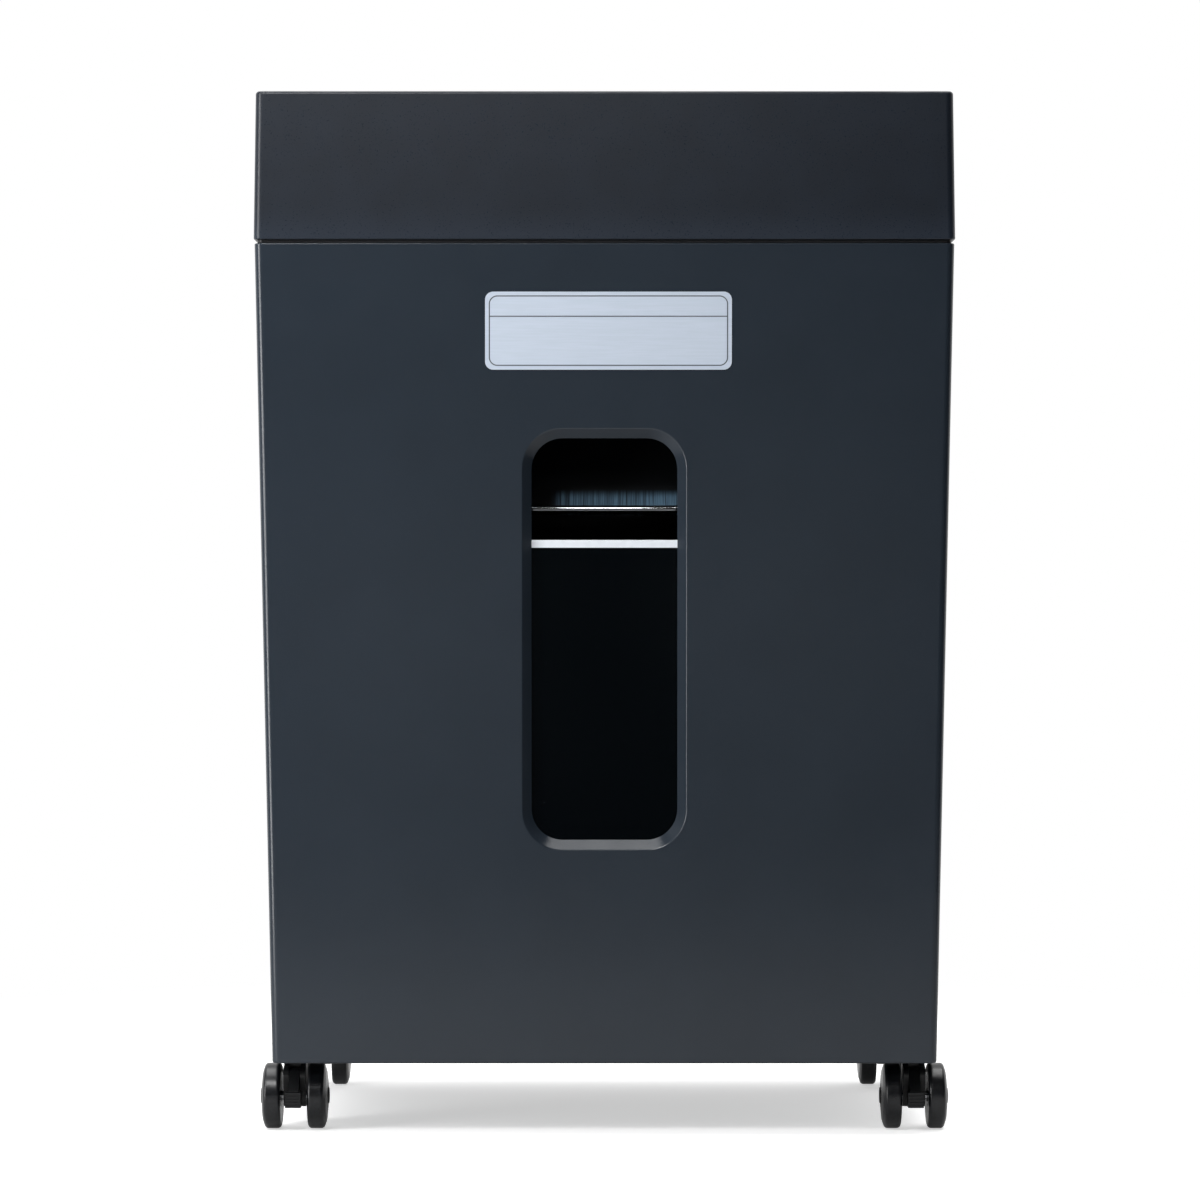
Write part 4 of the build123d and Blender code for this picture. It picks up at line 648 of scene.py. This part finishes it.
class Growth(Tree):
    """A geometry tree with named inputs that ends in one plain mesh."""

    def __init__(self, name, inputs):
        self.group = bpy.data.node_groups.new(name, "GeometryNodeTree")
        super().__init__(self.group)
        self.names = {}
        for title, kind in inputs.items():
            socket = self.group.interface.new_socket(title, in_out="INPUT", socket_type=kind)
            self.names[title] = socket.identifier
        self.group.interface.new_socket("Geometry", in_out="OUTPUT", socket_type="NodeSocketGeometry")
        self.inputs = self.node("NodeGroupInput").outputs

    def row(self, shape):
        """Copies of a shape at equal steps, made into one painted mesh, as the tree's result."""
        line = self.node("GeometryNodeMeshLine", sockets={
            "Count": self.inputs["Count"],
            "Start Location": self.inputs["Start"],
            "Offset": self.inputs["Step"],
        })
        placed = self.node("GeometryNodeInstanceOnPoints", sockets={
            "Points": line.outputs["Mesh"],
            "Instance": shape.outputs["Mesh"],
            "Rotation": self.inputs["Turn"],
        })
        whole = self.node("GeometryNodeRealizeInstances", sockets={"Geometry": placed.outputs["Instances"]})
        painted = self.node("GeometryNodeSetMaterial", sockets={
            "Geometry": whole.outputs["Geometry"], "Material": self.inputs["Material"]})
        self.node("NodeGroupOutput", sockets={"Geometry": painted.outputs["Geometry"]})

    def grow(self, name, values):
        """Run the tree and return its result as a plain mesh."""
        carrier = bpy.data.objects.new(name, bpy.data.meshes.new(name))
        bpy.context.collection.objects.link(carrier)
        modifier = carrier.modifiers.new("growth", "NODES")
        modifier.node_group = self.group
        for title, value in values.items():
            modifier[self.names[title]] = value
        bpy.context.view_layer.update()
        evaluated = carrier.evaluated_get(bpy.context.evaluated_depsgraph_get())
        mesh = bpy.data.meshes.new_from_object(evaluated)
        carrier.modifiers.remove(modifier)
        bpy.data.objects.remove(carrier)
        mesh.name = name
        return mesh


def row_of_bars():
    """Bars of one size at equal steps."""
    growth = Growth("row_of_bars", {**ROW_INPUTS, "Size": "NodeSocketVector"})
    growth.row(growth.node("GeometryNodeMeshCube", sockets={"Size": growth.inputs["Size"]}))
    return growth


def row_of_screws():
    """Screw heads with a cross recess at equal steps."""
    sizes = {"Radius": "NodeSocketFloat", "Height": "NodeSocketFloat"}
    growth = Growth("row_of_screws", {**ROW_INPUTS, **sizes})
    radius = Number(growth, growth.inputs["Radius"])
    height = Number(growth, growth.inputs["Height"])
    head = growth.node("GeometryNodeMeshCone", sockets={
        "Vertices": SCREW_SIDES,
        "Radius Top": radius * SCREW_TOP,
        "Radius Bottom": radius,
        "Depth": height,
    })
    recessed = growth.node("GeometryNodeMeshBoolean", {"operation": "DIFFERENCE"})
    growth.plug(head.outputs["Mesh"], recessed.inputs["Mesh 1"])
    for share_x, share_y in ((RECESS_LENGTH, RECESS_WIDTH), (RECESS_WIDTH, RECESS_LENGTH)):
        size = growth.node("ShaderNodeCombineXYZ", sockets={
            "X": radius * share_x, "Y": radius * share_y, "Z": height})
        bar = growth.node("GeometryNodeMeshCube", sockets={"Size": size.outputs["Vector"]})
        lift = growth.node("ShaderNodeCombineXYZ", sockets={"Z": height * RECESS_LIFT})
        raised = growth.node("GeometryNodeTransform", sockets={
            "Geometry": bar.outputs["Mesh"], "Translation": lift.outputs["Vector"]})
        growth.plug(raised.outputs["Geometry"], recessed.inputs["Mesh 2"])
    growth.row(recessed)
    return growth


def arc_band(start, end, inner, outer):
    """The outline of a band round a circle, in degrees from the u axis."""
    angles = [math.radians(start + (end - start) * step / ARC_STEPS) for step in range(ARC_STEPS + 1)]
    far = [(outer * math.cos(angle), outer * math.sin(angle)) for angle in angles]
    near = [(inner * math.cos(angle), inner * math.sin(angle)) for angle in reversed(angles)]
    return far + near


def add_lip_trim():
    """A polished steel trim folded over the front of the chute's lip."""
    def place(u, v, height):
        return (height - LIP_HALF_WIDTH, LIP_MIDDLE[0] + u, LIP_MIDDLE[1] + v)

    def build(shape):
        outline = arc_band(*TRIM_ARC, LIP_RADIUS, LIP_RADIUS + TRIM_THICKNESS)
        slab(shape, outline, place, 2 * LIP_HALF_WIDTH)
    piece("lip_trim", mesh_from("lip_trim", build), "cabinet", polished_steel)


def add_throat_ribs(bars):
    """Low ribs down both slopes of the throat, which steer the sheets into the slot."""
    run = Vector((0, FUNNEL_TOP[0] - FUNNEL_FOOT[0], FUNNEL_TOP[1] - FUNNEL_FOOT[1]))
    start_x = -RIB_PITCH * (RIB_COUNT - 1) / 2
    middle_z = (FUNNEL_FOOT[1] + FUNNEL_TOP[1]) / 2
    for name, end in (("throat_ribs_front", -1), ("throat_ribs_rear", 1)):
        middle_y = end * (FUNNEL_FOOT[0] + FUNNEL_TOP[0]) / 2
        lean = math.atan2(-end * run.y, run.z)
        mesh = bars.grow(name, {
            "Count": RIB_COUNT,
            "Start": (start_x, middle_y, middle_z),
            "Step": (RIB_PITCH, 0, 0),
            "Turn": (lean, 0, 0),
            "Size": (*RIB_SIZE, run.length * RIB_SHARE),
            "Material": black_satin,
        })
        piece(name, mesh, "cabinet", None)


def add_rear_screws(screws):
    """A row of screws in the cabinet's back wall, under the seam to the head."""
    mesh = screws.grow("rear_screws", {
        "Count": REAR_SCREW_COUNT,
        "Start": REAR_SCREW_START,
        "Step": REAR_SCREW_STEP,
        "Turn": (-math.pi / 2, 0, 0),
        "Radius": REAR_SCREW_RADIUS,
        "Height": REAR_SCREW_HEIGHT,
        "Material": turned_steel,
    })
    piece("rear_screws", mesh, "cabinet", None)


def stroke(low, high):
    """The outline of an upright stroke."""
    half = SIGN_STROKE / 2
    return [(-half, low), (half, low), (half, high), (-half, high)]


def arrow(up):
    """The outline of an arrow head; up is 1 or -1."""
    tip = up * ARROW_HEIGHT * ARROW_TIP_SHARE
    foot = tip - up * ARROW_HEIGHT
    return [(-ARROW_HALF_WIDTH, foot), (ARROW_HALF_WIDTH, foot), (0.0, tip)]


def add_button_signs():
    """A plain sign on each push button: power, back and forward."""
    signs = {
        "power_button": [arc_band(*POWER_ARC, *POWER_RING), stroke(*POWER_STROKE)],
        "reverse_button": [arrow(1)],
        "forward_button": [arrow(-1)],
    }
    for button, outlines in signs.items():
        low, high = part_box(button)
        middle = (low + high) / 2

        def place(u, v, height):
            return (middle.x + u, middle.y + v, high.z - SIGN_DEPTH + height)

        def build(shape):
            for outline in outlines:
                slab(shape, outline, place, SIGN_THICKNESS + SIGN_DEPTH)
        piece(f"{button}_sign", mesh_from(f"{button}_sign", build), button, print_dark)


def add_rocker_signs():
    """A stroke and a ring on the two halves of the mains rocker."""
    ring = (arc_band(0, 180, *ROCKER_RING), arc_band(180, 360, *ROCKER_RING))

    def place_on(half):
        """Where points of a sign go on the upper half (1) or the lower half (-1)."""
        def place(u, v, height):
            along = half * ROCKER_SIGN_Z + v
            out = ROCKER_FACE + abs(along) * ROCKER_FLARE - SIGN_DEPTH + height
            turned_y = out * math.cos(ROCKER_TILT) + along * math.sin(ROCKER_TILT)
            turned_z = along * math.cos(ROCKER_TILT) - out * math.sin(ROCKER_TILT)
            return (ROCKER_PIVOT[0] + u, ROCKER_PIVOT[1] + turned_y, ROCKER_PIVOT[2] + turned_z)
        return place

    def build(shape):
        slab(shape, stroke(*ROCKER_STROKE), place_on(1), SIGN_THICKNESS + SIGN_DEPTH)
        for outline in ring:
            slab(shape, outline, place_on(-1), SIGN_THICKNESS + SIGN_DEPTH)
    piece("rocker_signs", mesh_from("rocker_signs", build), "power_rocker", print_white)


def add_camera():
    """The camera that sees what the photograph shows."""
    camera = bpy.data.cameras.new("camera")
    camera.lens = CAMERA_LENS
    camera.sensor_width = CAMERA_SENSOR
    camera.dof.use_dof = False
    made = bpy.data.objects.new("camera", camera)
    made.location = CAMERA_PLACE
    made.rotation_euler = (math.pi / 2, 0, 0)
    bpy.context.collection.objects.link(made)
    bpy.context.scene.camera = made


def add_lamp(name, place, aim, size, power):
    """A soft rectangular lamp that looks at a point."""
    lamp = bpy.data.lights.new(name, "AREA")
    lamp.shape = "RECTANGLE"
    lamp.size, lamp.size_y = size
    lamp.energy = power
    made = bpy.data.objects.new(name, lamp)
    made.location = place
    made.rotation_euler = (Vector(aim) - Vector(place)).to_track_quat("-Z", "Y").to_euler()
    bpy.context.collection.objects.link(made)


def floor_finish():
    """Pale floor: it keeps the shadow near the machine and goes to white further out."""
    finish = Finish("studio_floor")
    x, y, _ = finish.place()
    away = (x * x + y * y).root().between(*FLOOR_FADE)
    pale = finish.node("ShaderNodeBsdfDiffuse", sockets={"Color": screen_colour(*[FLOOR_PALE] * 3)})
    lift = finish.node("ShaderNodeEmission", sockets={"Color": WHITE, "Strength": FLOOR_LIFT})
    lifted = finish.node("ShaderNodeAddShader", sockets={0: pale.outputs[0], 1: lift.outputs[0]})
    white = finish.node("ShaderNodeEmission", sockets={"Color": WHITE, "Strength": 1.0})
    grey = finish.node("ShaderNodeBsdfDiffuse", sockets={"Color": screen_colour(*[FLOOR_GREY] * 3)})
    seen = finish.blend(away, lifted.outputs[0], white.outputs[0])
    surface = finish.blend(finish.shown(FLOOR_MIRRORED), grey.outputs[0], seen)
    finish.node("ShaderNodeOutputMaterial", sockets={"Surface": surface})
    return finish.material


def add_surround():
    """Light from behind the machine and little from the camera's side, white where it is seen."""
    world = bpy.data.worlds.new("studio")
    bpy.context.scene.world = world
    world.use_nodes = True
    surround = Tree(world.node_tree)
    surround.tree.nodes.clear()
    direction = surround.node("ShaderNodeSeparateXYZ", sockets={
        "Vector": surround.node("ShaderNodeTexCoord").outputs["Generated"]})
    behind = Number(surround, direction.outputs["Y"]).between(*WORLD_FADE)
    front, back, white = [
        surround.node("ShaderNodeBackground", sockets={"Color": WHITE, "Strength": level}).outputs[0]
        for level in (WORLD_FRONT, WORLD_BACK, 1.0)]
    light = surround.blend(surround.shown(behind), surround.blend(behind, front, back), white)
    surround.node("ShaderNodeOutputWorld", sockets={"Surface": light})


def add_stage():
    """A pale floor, a white surround and soft lamps."""
    def build(shape):
        corners = [(-1, -1), (1, -1), (1, 1), (-1, 1)]
        points = [(x * FLOOR_REACH, y * FLOOR_REACH, -FLOOR_DROP) for x, y in corners]
        shape.faces.new([shape.verts.new(point) for point in points])
    mesh = mesh_from("studio_floor", build)
    mesh.materials.append(floor_finish())
    floor = bpy.data.objects.new("studio_floor", mesh)
    bpy.context.collection.objects.link(floor)
    add_surround()
    for name, (place, aim, size, power) in LAMPS.items():
        add_lamp(name, place, aim, size, power)


paint_frame()
add_label()
add_hub_caps()
add_lip_trim()
add_throat_ribs(row_of_bars())
add_rear_screws(row_of_screws())
add_button_signs()
add_rocker_signs()
add_stage()
add_camera()
bpy.context.scene.view_settings.view_transform = "Standard"
